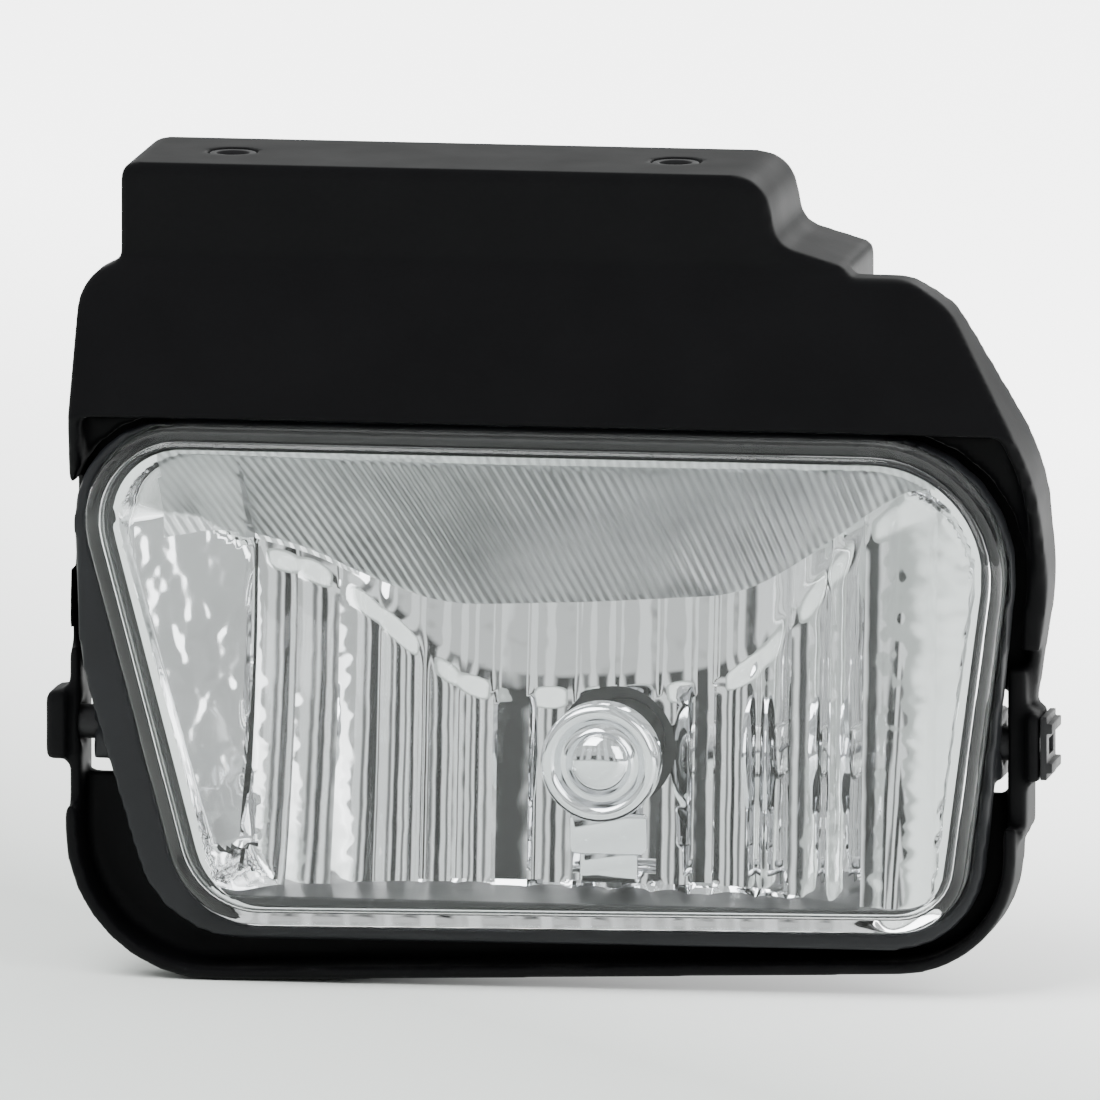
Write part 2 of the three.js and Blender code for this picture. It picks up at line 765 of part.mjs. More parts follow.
function lowerFrame() {
  const corners = [
    [-frameHalfWidth, frameBottom - frameSlope, 30],
    [frameHalfWidth - 1.4, frameBottom + frameSlope, 24],
    [frameHalfWidth - 1.4, armTop, 1],
    [-frameHalfWidth, armTop, 1],
  ];
  const outer = prismY(roundedOutline(corners, 0, 8), frameFront, frameRear);
  const inner = prismY(roundedOutline(corners, [bracketWall, bracketWall, -20, bracketWall], 8), 0, 40);
  const lip = cut(
    prismY(roundedOutline(corners, 0, 8), curtainFront, curtainFront + bracketWall),
    curtainOpening(),
    block(-120, 120, 0, 60, pivotZ - pivotWindow, pivotZ + pivotWindow),
  );
  return cut(join(cut(outer, inner), lip), sideRelief());
}

// Keeps the frame's sides behind the lamp's rim.
function sideRelief() {
  const reach = frameHalfWidth + 0.2;
  return block(-reach, reach, 0, rimRear + 1.1, pivotZ - 16, 40);
}

function ear(side) {
  const half = pivotBoss / 2;
  const from = side * (frameHalfWidth - bracketWall);
  const to = side * earTip;
  return block(
    Math.min(from, to), Math.max(from, to),
    pivotY - half, pivotY + half, pivotZ - half, pivotZ + half,
  );
}

function earBore(side) {
  const from = side * (frameHalfWidth - bracketWall - 4);
  const to = side * (earTip + 2);
  return rodX(pivotPinRadius + clearance, Math.min(from, to), Math.max(from, to), pivotY, pivotZ);
}

function arm(side) {
  const from = side * (frameHalfWidth - bracketWall);
  const to = side * frameHalfWidth;
  return block(
    Math.min(from, to), Math.max(from, to),
    pivotY - pivotBoss / 2, pivotY + pivotBoss / 2 + 3, pivotZ - 18, armTop,
  );
}

// Web that hangs from the rear of the shelf and carries the adjuster screw.
function adjusterWeb() {
  const low = adjusterZ - webDrop;
  const root = shelfTop - 1;
  const web = prismY([
    new THREE.Vector2(adjusterX - webHalfWidth, root),
    new THREE.Vector2(adjusterX - webHalfWidth * 0.6, low),
    new THREE.Vector2(adjusterX + webHalfWidth * 0.6, low),
    new THREE.Vector2(adjusterX + webHalfWidth, root),
  ], webRear - webWall, webRear);
  const ribs = [-1, 1].map((side) => {
    const middle = adjusterX + side * webRibPlace;
    return prismX([
      new THREE.Vector2(webRear - 1, root),
      new THREE.Vector2(webRear - webRibDepth, root),
      new THREE.Vector2(webRear - 1, low + webRibPlace),
    ], middle - webRibWall / 2, middle + webRibWall / 2);
  });
  const bore = rodY(adjusterRadius + 1 + clearance, webRear - 20, webRear + 5, adjusterX, adjusterZ);
  return { web: join(web, ...ribs), bore };
}

function mountingBracket() {
  const top = shelf();
  const { web, bore } = adjusterWeb();
  const shell = cut(join(upperShell(), top.outer), top.inner);
  const arms = cut(join(arm(-1), arm(1), ear(-1), ear(1)), sideRelief());
  const frame = cut(join(lowerFrame(), arms), earBore(-1), earBore(1));
  return cut(join(shell, frame, web, ...top.bosses), bore, ...top.bores, clipSeat());
}

// ---------------------------------------------------------------- pivots
function pivotPin(side) {
  const from = side * (bossTip - pinDepth + clearance);
  const to = side * (earTip - clipDepth - clearance);
  return rodX(pivotPinRadius, Math.min(from, to), Math.max(from, to), pivotY, pivotZ);
}

function clipSeat() {
  return block(earTip - clipDepth, earTip + 1, 0, 60, pivotZ - 20, pivotZ + 20);
}

// Spring clip that closes the right ear, with a window and two ridges.
function pivotClip() {
  const half = pivotBoss / 2 - 0.6;
  const plate = block(
    earTip - clipDepth + clearance, earTip, pivotY - half, pivotY + half, pivotZ - half, pivotZ + half,
  );
  const ridges = [-4, 4].map((z) => block(
    earTip - 0.5, earTip + 1.1, pivotY - half, pivotY + half, pivotZ + z - 1, pivotZ + z + 1,
  ));
  const window = block(earTip - 5, earTip + 5, pivotY - 3, pivotY + 3, pivotZ - 1.6, pivotZ + 1.6);
  return cut(join(plate, ...ridges), window);
}

// ---------------------------------------------------------------- adjuster
function adjusterScrew() {
  const head = rodY(adjusterRadius + 3, webRear + flangeGap + 1.6, webRear + flangeGap + 7,
    adjusterX, adjusterZ, 6);
  const flange = rodY(adjusterRadius + 3.6, webRear + flangeGap, webRear + flangeGap + 1.8,
    adjusterX, adjusterZ);
  const neck = rodY(adjusterRadius + 1, webRear - webWall - 3.4, webRear + flangeGap + 1,
    adjusterX, adjusterZ);
  const shank = rodY(adjusterRadius, nutY - 9, webRear, adjusterX, adjusterZ);
  const groove = cut(
    rodY(adjusterRadius + 3, clipY - clearance, clipY + clipThickness + clearance,
      adjusterX, adjusterZ),
    rodY(adjusterRadius, clipY - 2, clipY + 4, adjusterX, adjusterZ),
  );
  return cut(join(head, flange, neck, shank), groove);
}

function adjusterClip() {
  const ring = rodY(adjusterRadius + 4, clipY, clipY + clipThickness, adjusterX, adjusterZ);
  const bore = rodY(adjusterRadius + clearance, clipY - 1, clipY + 3, adjusterX, adjusterZ);
  const mouth = block(
    adjusterX - adjusterRadius * 0.8, adjusterX + adjusterRadius * 0.8,
    clipY - 1, clipY + 3, adjusterZ - 12, adjusterZ,
  );
  return cut(ring, bore, mouth);
}

function adjusterNut() {
  const half = nutSize / 2;
  const body = block(
    adjusterX - half, adjusterX + half, nutY - nutLength / 2, nutY + nutLength / 2,
    adjusterZ - half, adjusterZ + half,
  );
  const reach = forkGap / 2 + forkWall + 1.2;
  const pin = rodX(nutPinRadius, adjusterX - reach, adjusterX + reach, nutY, adjusterZ);
  const thread = rodY(adjusterRadius + clearance, nutY - 10, nutY + 10, adjusterX, adjusterZ);
  return cut(join(body, pin), thread);
}

// ---------------------------------------------------------------- small fasteners
function reflectorScrew(x, z) {
  const head = rodY(3.6, screwBossRear + clearance, screwBossRear + 2.6, x, z, 16);
  const shank = rodY(1.6, screwTip, screwBossRear + 1, x, z, 12);
  return join(head, shank);
}

function boltSleeve(side) {
  const x = mountX + side * boltSpacing / 2;
  const outer = rodZ(boltRadius + sleeveWall, shelfTop - 9, shelfTop - clearance, x, mountY);
  return cut(outer, rodZ(boltRadius, shelfTop - 12, shelfTop + 2, x, mountY));
}

function ventCap() {
  const outer = rodY(ventRadius + 1.2, ventFront - 4, ventFront + 3, ventX, ventZ);
  const inner = rodY(ventRadius - 1.5 + clearance, ventFront - 5, ventFront, ventX, ventZ);
  return cut(outer, inner);
}

// ---------------------------------------------------------------- assembly
addPiece('mounting_bracket', mountingBracket(), blackMoulding);
addPiece('pivot_clip', pivotClip(), zincSteel);
addPiece('bolt_sleeve_left', boltSleeve(-1), blackSteel);
addPiece('bolt_sleeve_right', boltSleeve(1), blackSteel);
addPiece('lens', lens(), clearPlastic);
addPiece('lens_seal', lensSeal(), blackRubber);
addPiece('lamp_housing', lampHousing(), greyHousing);
addPiece('reflector', reflector(), aluminised);
addPiece('bulb_shield', bulbShield(), chrome);
addPiece('shield_rivet', shieldRivet(), zincSteel);
addPiece('pivot_pin_left', pivotPin(-1), zincSteel);
addPiece('pivot_pin_right', pivotPin(1), zincSteel);
addPiece('bulb_base', bulbBase(), basePlastic);
addPiece('bulb_capsule', bulbCapsule(), clearGlass);
addPiece('bulb_ferrule', bulbFerrule(), zincSteel);
addPiece('bulb_filament', bulbFilament(), tungsten);
addPiece('lead_wire_left', leadWire(-1), zincSteel);
addPiece('lead_wire_right', leadWire(1), zincSteel);
addPiece('terminal_left', bladeBlock(-1, 0), brass);
addPiece('terminal_right', bladeBlock(1, 0), brass);
addPiece('bulb_o_ring', bulbSealRing(), blackRubber);
addPiece('adjuster_screw', adjusterScrew(), zincSteel);
addPiece('adjuster_clip', adjusterClip(), zincSteel);
addPiece('adjuster_nut', adjusterNut(), whiteNylon);
addPiece('vent_cap', ventCap(), blackRubber);
reflectorScrewPlaces.forEach(([x, z], i) => {
  addPiece(`reflector_screw_${i + 1}`, reflectorScrew(x, z), zincSteel);
});

fogLight.position.set(-mountX, -mountY, -shelfTop);
const object = new THREE.Group();
object.add(fogLight);
export default object;
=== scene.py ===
"""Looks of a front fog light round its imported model: a Blender add-on that runs as a script."""

import json
import math

import bmesh
import bpy
import numpy as np
from bpy.props import FloatProperty, FloatVectorProperty, IntProperty, PointerProperty
from mathutils import Matrix, Vector
from mathutils.bvhtree import BVHTree


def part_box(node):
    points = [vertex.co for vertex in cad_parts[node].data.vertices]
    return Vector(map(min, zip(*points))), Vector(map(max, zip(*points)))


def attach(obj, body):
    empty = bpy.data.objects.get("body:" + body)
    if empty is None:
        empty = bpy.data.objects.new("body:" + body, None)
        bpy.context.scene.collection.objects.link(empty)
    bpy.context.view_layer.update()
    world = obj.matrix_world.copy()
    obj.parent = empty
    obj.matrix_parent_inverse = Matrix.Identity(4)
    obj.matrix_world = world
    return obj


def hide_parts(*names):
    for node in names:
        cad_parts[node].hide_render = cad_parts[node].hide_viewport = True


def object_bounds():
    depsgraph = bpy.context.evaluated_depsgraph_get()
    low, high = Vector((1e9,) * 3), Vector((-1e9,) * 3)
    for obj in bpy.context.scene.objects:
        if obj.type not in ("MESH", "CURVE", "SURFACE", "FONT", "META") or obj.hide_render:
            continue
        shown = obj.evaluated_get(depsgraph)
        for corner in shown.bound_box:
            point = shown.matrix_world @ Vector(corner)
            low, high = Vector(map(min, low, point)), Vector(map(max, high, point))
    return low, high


bl_info = {
    "name": "Fog light",
    "version": (1, 0, 0),
    "blender": (4, 5, 0),
    "location": "3D View > Sidebar > Fog light",
    "description": "Builds the pieces of a front fog light round its CAD frame",
    "category": "Add Mesh",
}

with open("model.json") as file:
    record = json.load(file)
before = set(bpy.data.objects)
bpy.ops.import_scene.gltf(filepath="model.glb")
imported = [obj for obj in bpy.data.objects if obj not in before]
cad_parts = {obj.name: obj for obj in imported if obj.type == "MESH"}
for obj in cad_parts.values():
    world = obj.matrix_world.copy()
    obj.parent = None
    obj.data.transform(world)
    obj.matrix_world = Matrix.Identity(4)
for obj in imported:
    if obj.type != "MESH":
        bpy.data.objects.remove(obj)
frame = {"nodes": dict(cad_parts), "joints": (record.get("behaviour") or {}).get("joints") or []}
CAD_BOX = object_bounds()

MM = 0.001
TILT_JOINT = next(j for j in frame["joints"] if j["name"] == "aim_tilt")
PIVOT_DROP = 13.5 * MM
# The lens datum: X between the pivots, Y on the lens front plane, Z a fixed height over the pivots.
PIVOTS = TILT_JOINT["pos_m"]
DATUM = Vector((PIVOTS[0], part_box("lens")[0].y, PIVOTS[2] + PIVOT_DROP))


def datum_mm(point):
    """A point of the row frame, in millimetres from the lens datum."""
    return (Vector(point) - DATUM) / MM


BULB_LOW, BULB_HIGH = (datum_mm(corner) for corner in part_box("bulb_capsule"))
BULB = (BULB_LOW + BULB_HIGH) / 2
SCREW_LOW, SCREW_HIGH = (datum_mm(corner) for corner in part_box("adjuster_screw"))
SCREW = (SCREW_LOW + SCREW_HIGH) / 2


# ---------------------------------------------------------------- colours and nodes
def srgb(code):
    """Linear RGBA of an sRGB hex code."""
    channels = [int(code[i:i + 2], 16) / 255 for i in (1, 3, 5)]
    linear = [c / 12.92 if c <= 0.04045 else ((c + 0.055) / 1.055) ** 2.4 for c in channels]
    return (*linear, 1.0)


def add_node(tree, kind, settings=None, links=None):
    """Adds a node; `settings` sets attributes or input values, `links` joins inputs to outputs."""
    node = tree.nodes.new(kind)
    for key, value in (settings or {}).items():
        if key in node.inputs.keys() or isinstance(key, int):
            node.inputs[key].default_value = value
        else:
            setattr(node, key, value)
    for key, socket in (links or {}).items():
        tree.links.new(socket, node.inputs[key])
    return node


def new_material(name, shader, tint=None, gloss=None, relief=None, cloud_mm=9.0, cloud_detail=4.0):
    """A Principled material whose tint, gloss and relief follow noise on Object coordinates.

    `tint` is a dark and a light sRGB code and `gloss` a lowest and a highest roughness, both spread
    over soft clouds `cloud_mm` across. `relief` is a grain's size and depth in mm, its strength,
    and how many finer layers it has. Returns the material, its tree, shader and position.
    """
    made = bpy.data.materials.new(name)
    made.use_nodes = True
    tree = made.node_tree
    tree.nodes.clear()
    surface = add_node(tree, "ShaderNodeBsdfPrincipled", shader)
    add_node(tree, "ShaderNodeOutputMaterial", links={"Surface": surface.outputs["BSDF"]})
    if not (tint or gloss or relief):
        return made, tree, surface, None
    position = add_node(tree, "ShaderNodeTexCoord").outputs["Object"]
    if tint or gloss:
        cloud = add_node(tree, "ShaderNodeTexNoise", {
            "Scale": 1 / (cloud_mm * MM), "Detail": cloud_detail}, {"Vector": position})
    if tint:
        dark, light = tint
        mix = add_node(tree, "ShaderNodeMix", {"data_type": "RGBA", 6: srgb(dark), 7: srgb(light)},
                       {0: cloud.outputs["Fac"]})
        tree.links.new(mix.outputs[2], surface.inputs["Base Color"])
    if gloss:
        spread = add_node(tree, "ShaderNodeMapRange", {"To Min": gloss[0], "To Max": gloss[1]},
                          {"Value": cloud.outputs["Fac"]})
        tree.links.new(spread.outputs["Result"], surface.inputs["Roughness"])
    if relief:
        size_mm, depth_mm, strength, detail = relief
        grain = add_node(tree, "ShaderNodeTexNoise", {
            "Scale": 1 / (size_mm * MM), "Detail": detail}, {"Vector": position})
        bump = add_node(tree, "ShaderNodeBump", {"Strength": strength, "Distance": depth_mm * MM},
                        {"Height": grain.outputs["Fac"]})
        tree.links.new(bump.outputs["Normal"], surface.inputs["Normal"])
    return made, tree, surface, position


MATERIALS = {}


def material(maker):
    """Makes a material once, on first use, and names it after the function that describes it."""
    def made():
        name = maker.__name__
        if name not in MATERIALS:
            MATERIALS[name] = maker(name)
        return MATERIALS[name]
    return made


@material
def moulded_black_polypropylene(name):
    # Glass-filled polypropylene from a spark-eroded mould: deep black, fine grain, dull sheen.
    # The real grain is about 0.1 mm; it is drawn at 0.7 mm so that it shows.
    return new_material(
        name, {"Specular IOR Level": 0.1}, ("#020203", "#070708"), (0.48, 0.64),
        relief=(0.7, 0.05, 0.5, 3.0), cloud_mm=16.7)[0]


@material
def moulded_dark_polyester(name):
    # Thermoset housing moulding: very dark grey with faint flow marks.
    return new_material(
        name, {"Specular IOR Level": 0.22}, ("#111214", "#1c1d1f"), (0.35, 0.55),
        relief=(1.1, 0.04, 0.5, 3.0), cloud_mm=11.1)[0]


@material
def clear_polycarbonate(name):
    # Clear polycarbonate under a low-index hard coat: glassy, with little glare of its own.
    return new_material(name, {
        "Base Color": srgb("#fbfdfd"), "Transmission Weight": 1.0, "IOR": 1.36, "Roughness": 0.0,
    })[0]


@material
def aluminised_lacquer(name):
    # Vacuum-metallised aluminium under lacquer: a bright mirror whose edges run a little.
    colour = tuple(bpy.context.scene.fog_light.reflector_colour)
    return new_material(
        name, {"Base Color": colour, "Metallic": 1.0}, gloss=(0.02, 0.05),
        relief=(6.0, 0.12, 0.6, 1.0), cloud_mm=9.0, cloud_detail=3.0)[0]


@material
def aluminised_ribbed_painted_shade(name):
    # The same metallised layer over fine slanting ribs, which break the mirror into grey hatching:
    # painted shade and highlight in the base colour, over the ribs' bumps.
    # The real ribs are finer than 1.8 mm, which is the finest that shows.
    rib_pitch, rib_depth = 1.8 * MM, 0.12 * MM
    cloud_size = 11.0 * MM
    made, tree, surface, _ = new_material(name, {"Metallic": 1.0})
    position = add_node(tree, "ShaderNodeTexCoord").outputs["Object"]
    middle = DATUM + Vector((BULB.x, 0, 0)) * MM
    centred = add_node(tree, "ShaderNodeVectorMath", {"operation": "SUBTRACT", 1: tuple(middle)},
                       {0: position})
    parts = add_node(tree, "ShaderNodeSeparateXYZ", links={"Vector": centred.outputs["Vector"]})
    # The ribs lean over to the left, less and less towards the right.
    lean = add_node(tree, "ShaderNodeMath", {"operation": "MULTIPLY_ADD", 1: -2.6, 2: 0.3},
                    {0: parts.outputs["X"]})
    along = add_node(tree, "ShaderNodeMath", {"operation": "MULTIPLY_ADD"},
                     {0: parts.outputs["Z"], 1: lean.outputs["Value"], 2: parts.outputs["X"]})
    phase = add_node(tree, "ShaderNodeMath", {"operation": "MULTIPLY", 1: 2 * math.pi / rib_pitch},
                     {0: along.outputs["Value"]})
    ribs = add_node(tree, "ShaderNodeMath", {"operation": "SINE"}, {0: phase.outputs["Value"]})
    cloud = add_node(tree, "ShaderNodeTexNoise", {"Scale": 1 / cloud_size, "Detail": 3.0},
                     {"Vector": position})
    # Painted highlight on the crests and painted shade in the hollows, over a slow mottle.
    shade = add_node(tree, "ShaderNodeMapRange", {"From Min": -1.0, "To Min": 0.35, "To Max": 0.75},
                     {"Value": ribs.outputs["Value"]})
    mottled_rib_shade = add_node(tree, "ShaderNodeMath", {"operation": "MULTIPLY_ADD", 2: -0.1},
                       {0: shade.outputs["Result"], 1: cloud.outputs["Fac"]})
    rib_shade_tone = add_node(tree, "ShaderNodeMath", {"operation": "ADD", 1: 0.35},
                    {0: mottled_rib_shade.outputs["Value"]})
    # The base colour carries the painted rib shade: pale on the crests, grey in the hollows.
    mix = add_node(tree, "ShaderNodeMix", {
        "data_type": "RGBA", 6: srgb("#8f9193"), 7: srgb("#f2f3f3")}, {0: rib_shade_tone.outputs["Value"]})
    tree.links.new(mix.outputs[2], surface.inputs["Base Color"])
    rough = add_node(tree, "ShaderNodeMapRange", {"To Min": 0.26, "To Max": 0.4},
                     {"Value": cloud.outputs["Fac"]})
    tree.links.new(rough.outputs["Result"], surface.inputs["Roughness"])
    bump = add_node(tree, "ShaderNodeBump", {"Strength": 0.7, "Distance": rib_depth},
                    {"Height": ribs.outputs["Value"]})
    tree.links.new(bump.outputs["Normal"], surface.inputs["Normal"])
    return made


@material
def black_phosphated_steel(name):
    # Manganese-phosphated steel under oil: soft black, barely metallic.
    return new_material(
        name, {"Metallic": 0.5}, ("#131314", "#222224"), (0.45, 0.65), cloud_mm=1.25)[0]


@material
def chromed_steel(name):
    # Bright nickel-chrome plate on pressed steel: a clean mirror with a faint press ripple.
    return new_material(
        name, {"Base Color": srgb("#dcdde0"), "Metallic": 1.0, "Roughness": 0.06},
        relief=(3.0, 0.02, 0.4, 3.0))[0]


@material
def zinc_plated_steel(name):
    # Clear-passivated zinc on steel: cool grey with a spangled, slightly cloudy gloss.
    return new_material(
        name, {"Metallic": 1.0}, ("#a9abad", "#c9cacb"), (0.25, 0.42),
        relief=(0.4, 0.01, 0.4, 3.0), cloud_mm=1.43)[0]


@material
def black_epdm_rubber(name):
    # Moulded EPDM: dead matt black with a faint grey bloom and a slightly coarse drawn grain.
    return new_material(
        name, {"Specular IOR Level": 0.3}, ("#0f0f10", "#1a1a1b"), (0.7, 0.9),
        relief=(0.3, 0.02, 0.5, 3.0), cloud_mm=3.33)[0]


@material
def moulded_grey_nylon(name):
    # Glass-filled nylon of the bulb base: dark grey, satin, with short fibre flecks.
    return new_material(
        name, {"Specular IOR Level": 0.45}, ("#222325", "#2f3033"), (0.38, 0.55),
        relief=(0.35, 0.015, 0.5, 3.0), cloud_mm=2.0)[0]


@material
def natural_acetal(name):
    # Natural acetal of the adjuster nut: milky white with a waxy surface.
    return new_material(
        name, {"Subsurface Weight": 0.15, "Subsurface Scale": 0.002}, ("#dcd9cf", "#e8e6de"),
        (0.35, 0.5), cloud_mm=5.0)[0]


@material
def tinned_brass(name):
    # Thinly tinned brass blades: pale warm metal, slightly uneven in colour and gloss.
    return new_material(
        name, {"Metallic": 1.0}, ("#b99f66", "#d2c095"), (0.22, 0.38), cloud_mm=1.11)[0]


@material
def hard_glass(name):
    # Alumino-silicate bulb glass: colourless, with slight draw waves.
    return new_material(name, {
        "Base Color": srgb("#ffffff"), "Transmission Weight": 1.0, "IOR": 1.5, "Roughness": 0.0,
    }, relief=(4.0, 0.05, 0.3, 1.0))[0]


@material
def drawn_tungsten(name):
    # Drawn tungsten and molybdenum wire: dull dark grey metal.
    return new_material(
        name, {"Metallic": 1.0}, ("#5f6064", "#7b7c80"), (0.35, 0.5), cloud_mm=0.5)[0]


@material
def paper_floor_painted_light(name):
    # Seamless paper: matt and pale, with painted shade greying it at the front left and a painted
    # glow making it white behind, though it is no lamp.
    made, tree, surface, position = new_material(
        name, {"Roughness": 0.9, "Specular IOR Level": 0.05, "Emission Color": srgb("#ffffff")},
        relief=(2.0, 0.05, 0.2, 3.0))
    # Painted shade: the front of the floor is tinted grey, as if less light fell there.
    grey = tuple(bpy.context.scene.fog_light.floor_front_painted_shade)
    away = add_node(tree, "ShaderNodeVectorMath", {"operation": "DOT_PRODUCT", 1: (1.2, 1.0, 0.0)},
                    {0: position})
    depth = add_node(tree, "ShaderNodeMapRange", {"From Min": -0.05, "From Max": 0.75},
                     {"Value": away.outputs["Value"]})
    # The base colour runs from the painted grey at the front left to white behind.
    mix = add_node(tree, "ShaderNodeMix", {"data_type": "RGBA", 6: grey, 7: srgb("#ffffff")},
                   {0: depth.outputs["Result"]})
    tree.links.new(mix.outputs[2], surface.inputs["Base Color"])
    # Painted light: the floor glows more the further back it lies.
    painted_glow = add_node(tree, "ShaderNodeMath", {"operation": "MULTIPLY", 1: 3.6},
                    {0: depth.outputs["Result"]})
    tree.links.new(painted_glow.outputs["Value"], surface.inputs["Emission Strength"])
    return made


# ---------------------------------------------------------------- shapes
# Points of a CAD node that are this close, in metres, are one point.
WELD = 2e-6


def linked(name, data):
    """A new object of the scene that holds the given mesh, light or camera."""
    made = bpy.data.objects.new(name, data)
    bpy.context.scene.collection.objects.link(made)
    return made


def rounded_outline(corners, inset=0.0, steps=10):
    """Points of an outline with arc corners, given as (x, z, radius); insets run edge by edge."""
    count = len(corners)
    shift = [inset] * count if np.isscalar(inset) else list(inset)
    at = [np.array(corner[:2], float) for corner in corners]
    ahead = [at[(i + 1) % count] - at[i] for i in range(count)]
    ahead = [edge / np.linalg.norm(edge) for edge in ahead]
    points = []
    for i in range(count):
        before, after = ahead[i - 1], ahead[i]
        turn = before[0] * after[1] - before[1] * after[0]
        corner = at[i] + after * shift[i - 1] / turn - before * shift[i] / turn
        sign = math.copysign(1, turn)
        radius = max(corners[i][2] - sign * (shift[i - 1] + shift[i]) / 2, 0.2)
        angle = math.atan2(turn, before @ after)
        start = corner - before * radius * math.tan(abs(angle) / 2)
        centre = start + sign * radius * np.array([-before[1], before[0]])
        spoke = start - centre
        for step in range(steps + 1):
            c, s = math.cos(angle * step / steps), math.sin(angle * step / steps)
            turned = np.array([c * spoke[0] - s * spoke[1], s * spoke[0] + c * spoke[1]])
            points.append(centre + turned)
    return np.array(points)


def even_outline(points, count):
    """The same closed outline with `count` points at even steps along it."""
    closed = np.vstack([points, points[:1]])
    lengths = np.r_[0, np.cumsum(np.linalg.norm(np.diff(closed, axis=0), axis=1))]
    at = np.linspace(0, lengths[-1], count, endpoint=False)
    return np.stack([np.interp(at, lengths, closed[:, k]) for k in (0, 1)], axis=1)


def build_object(name, points_mm, faces):
    """A mesh object from points in millimetres at the lens datum, with outward faces."""
    mesh = bpy.data.meshes.new(name)
    points = np.asarray(points_mm, float) * MM + np.array(DATUM)
    mesh.from_pydata(points.tolist(), [], [list(face) for face in faces])
    mesh.validate()
    bm = bmesh.new()
    bm.from_mesh(mesh)
    bmesh.ops.remove_doubles(bm, verts=bm.verts, dist=1e-7)
    bmesh.ops.recalc_face_normals(bm, faces=bm.faces)
    bm.to_mesh(mesh)
    bm.free()
    return linked(name, mesh)


def ring_loft(name, rings, cap_first=True, cap_last=True):
    """A skin through rings of equal point counts; each ring is an array of (x, y, z)."""
    size = len(rings[0])
    points = np.vstack(rings)
    faces = []
    for s in range(len(rings) - 1):
        for i in range(size):
            j = (i + 1) % size
            faces.append((s * size + i, s * size + j, (s + 1) * size + j, (s + 1) * size + i))
    if cap_first:
        faces.append(tuple(range(size))[::-1])
    if cap_last:
        faces.append(tuple((len(rings) - 1) * size + i for i in range(size)))
    return build_object(name, points, faces)


def outline_ring(points, y):
    """An outline in X and Z placed at depth y, a number or an array."""
    return np.stack([points[:, 0], np.broadcast_to(y, len(points)), points[:, 1]], axis=1)


def lathe(name, profile, centre, sides=64):
    """A piece turned round an axis along Y; the profile holds (radius, y) from axis to axis."""
    angles = np.linspace(0, 2 * math.pi, sides, endpoint=False)
    circle = np.stack([np.cos(angles), np.sin(angles)], axis=1)
    rings = [outline_ring(centre + max(radius, 1e-4) * circle, float(y)) for radius, y in profile]
    return ring_loft(name, rings)


def smooth(made, degrees=32.0):
    """Smooth shading, with edges sharper than the angle kept crisp."""
    made.data.shade_smooth()
    bm = bmesh.new()
    bm.from_mesh(made.data)
    limit = math.radians(degrees)
    for edge in bm.edges:
        edge.smooth = len(edge.link_faces) == 2 and edge.calc_face_angle(0.0) < limit
    bm.to_mesh(made.data)
    bm.free()
    return made


def apply_modifiers(made):
    """Replaces the object's mesh by the evaluated one and drops its modifiers."""
    bpy.context.view_layer.update()
    evaluated = made.evaluated_get(bpy.context.evaluated_depsgraph_get())
    mesh = bpy.data.meshes.new_from_object(evaluated)
    made.modifiers.clear()
    made.data = mesh
    return made


def refined_copy(node, name, voxel_mm, smoothing, added=()):
    """A rounded copy of a CAD node with pieces added: remeshed in small cells, then relaxed."""
    made = linked(name, frame["nodes"][node].data.copy())
    made.data.materials.clear()
    bm = bmesh.new()
    bm.from_mesh(made.data)
    bmesh.ops.remove_doubles(bm, verts=bm.verts, dist=WELD)
    for part in added:
        bm.from_mesh(part.data)
        bpy.data.objects.remove(part)
    bm.to_mesh(made.data)
    bm.free()
    remesh = made.modifiers.new("cells", "REMESH")
    remesh.mode = "VOXEL"
    remesh.voxel_size = voxel_mm * MM
    remesh.adaptivity = 0.0
    relax = made.modifiers.new("relax", "SMOOTH")
    relax.factor = 0.5
    relax.iterations = smoothing
    apply_modifiers(made)
    made.data.shade_smooth()
    return made


def finish_piece(made, body, slot, surface, *nodes):
    """Gives a piece its material and its body, and hides the CAD nodes that it stands for; `slot`
    is not used.
    """
    made.data.materials.clear()
    made.data.materials.append(surface)
    if nodes:
        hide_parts(*nodes)
    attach(made, body)
    return made


def dress_node(node, surface):
    """Gives a CAD node that stays in view its material."""
    kept = frame["nodes"][node]
    kept.data.materials.clear()
    kept.data.materials.append(surface)


def bevelled_copy(node, name, width_mm, segments=2):
    """A copy of a CAD node with its flat faces merged and its edges rounded off."""
    made = linked(name, frame["nodes"][node].data.copy())
    bm = bmesh.new()
    bm.from_mesh(made.data)
    bmesh.ops.remove_doubles(bm, verts=bm.verts, dist=WELD)
    flat = math.radians(1.5)
    bmesh.ops.dissolve_limit(bm, angle_limit=flat, verts=bm.verts, edges=bm.edges)
    bm.to_mesh(made.data)
    bm.free()
    bevel = made.modifiers.new("edges", "BEVEL")
    bevel.width = width_mm * MM
    bevel.segments = segments
    bevel.limit_method = "ANGLE"
    bevel.angle_limit = math.radians(32)
    bevel.harden_normals = False
    apply_modifiers(made)
    return smooth(made, 38)


def bevelled_piece(node, name, width_mm, body, slot, surface, segments=2):
    """A CAD node's bevelled copy, finished as the piece that stands for it."""
    finish_piece(bevelled_copy(node, name, width_mm, segments), body, slot, surface, node)


def merged(name, parts):
    """Several mesh objects as one piece."""
    bm = bmesh.new()
    for part in parts:
        bm.from_mesh(part.data)
        bpy.data.objects.remove(part)
    mesh = bpy.data.meshes.new(name)
    bm.to_mesh(mesh)
    bm.free()
    return linked(name, mesh)


def rectangle(left, right, low, high, radius, top_radius=None):
    """Corners of a rectangle for `rounded_outline`, in mm."""
    top = radius if top_radius is None else top_radius
    return [(left, low, radius), (right, low, radius), (right, high, top), (left, high, top)]


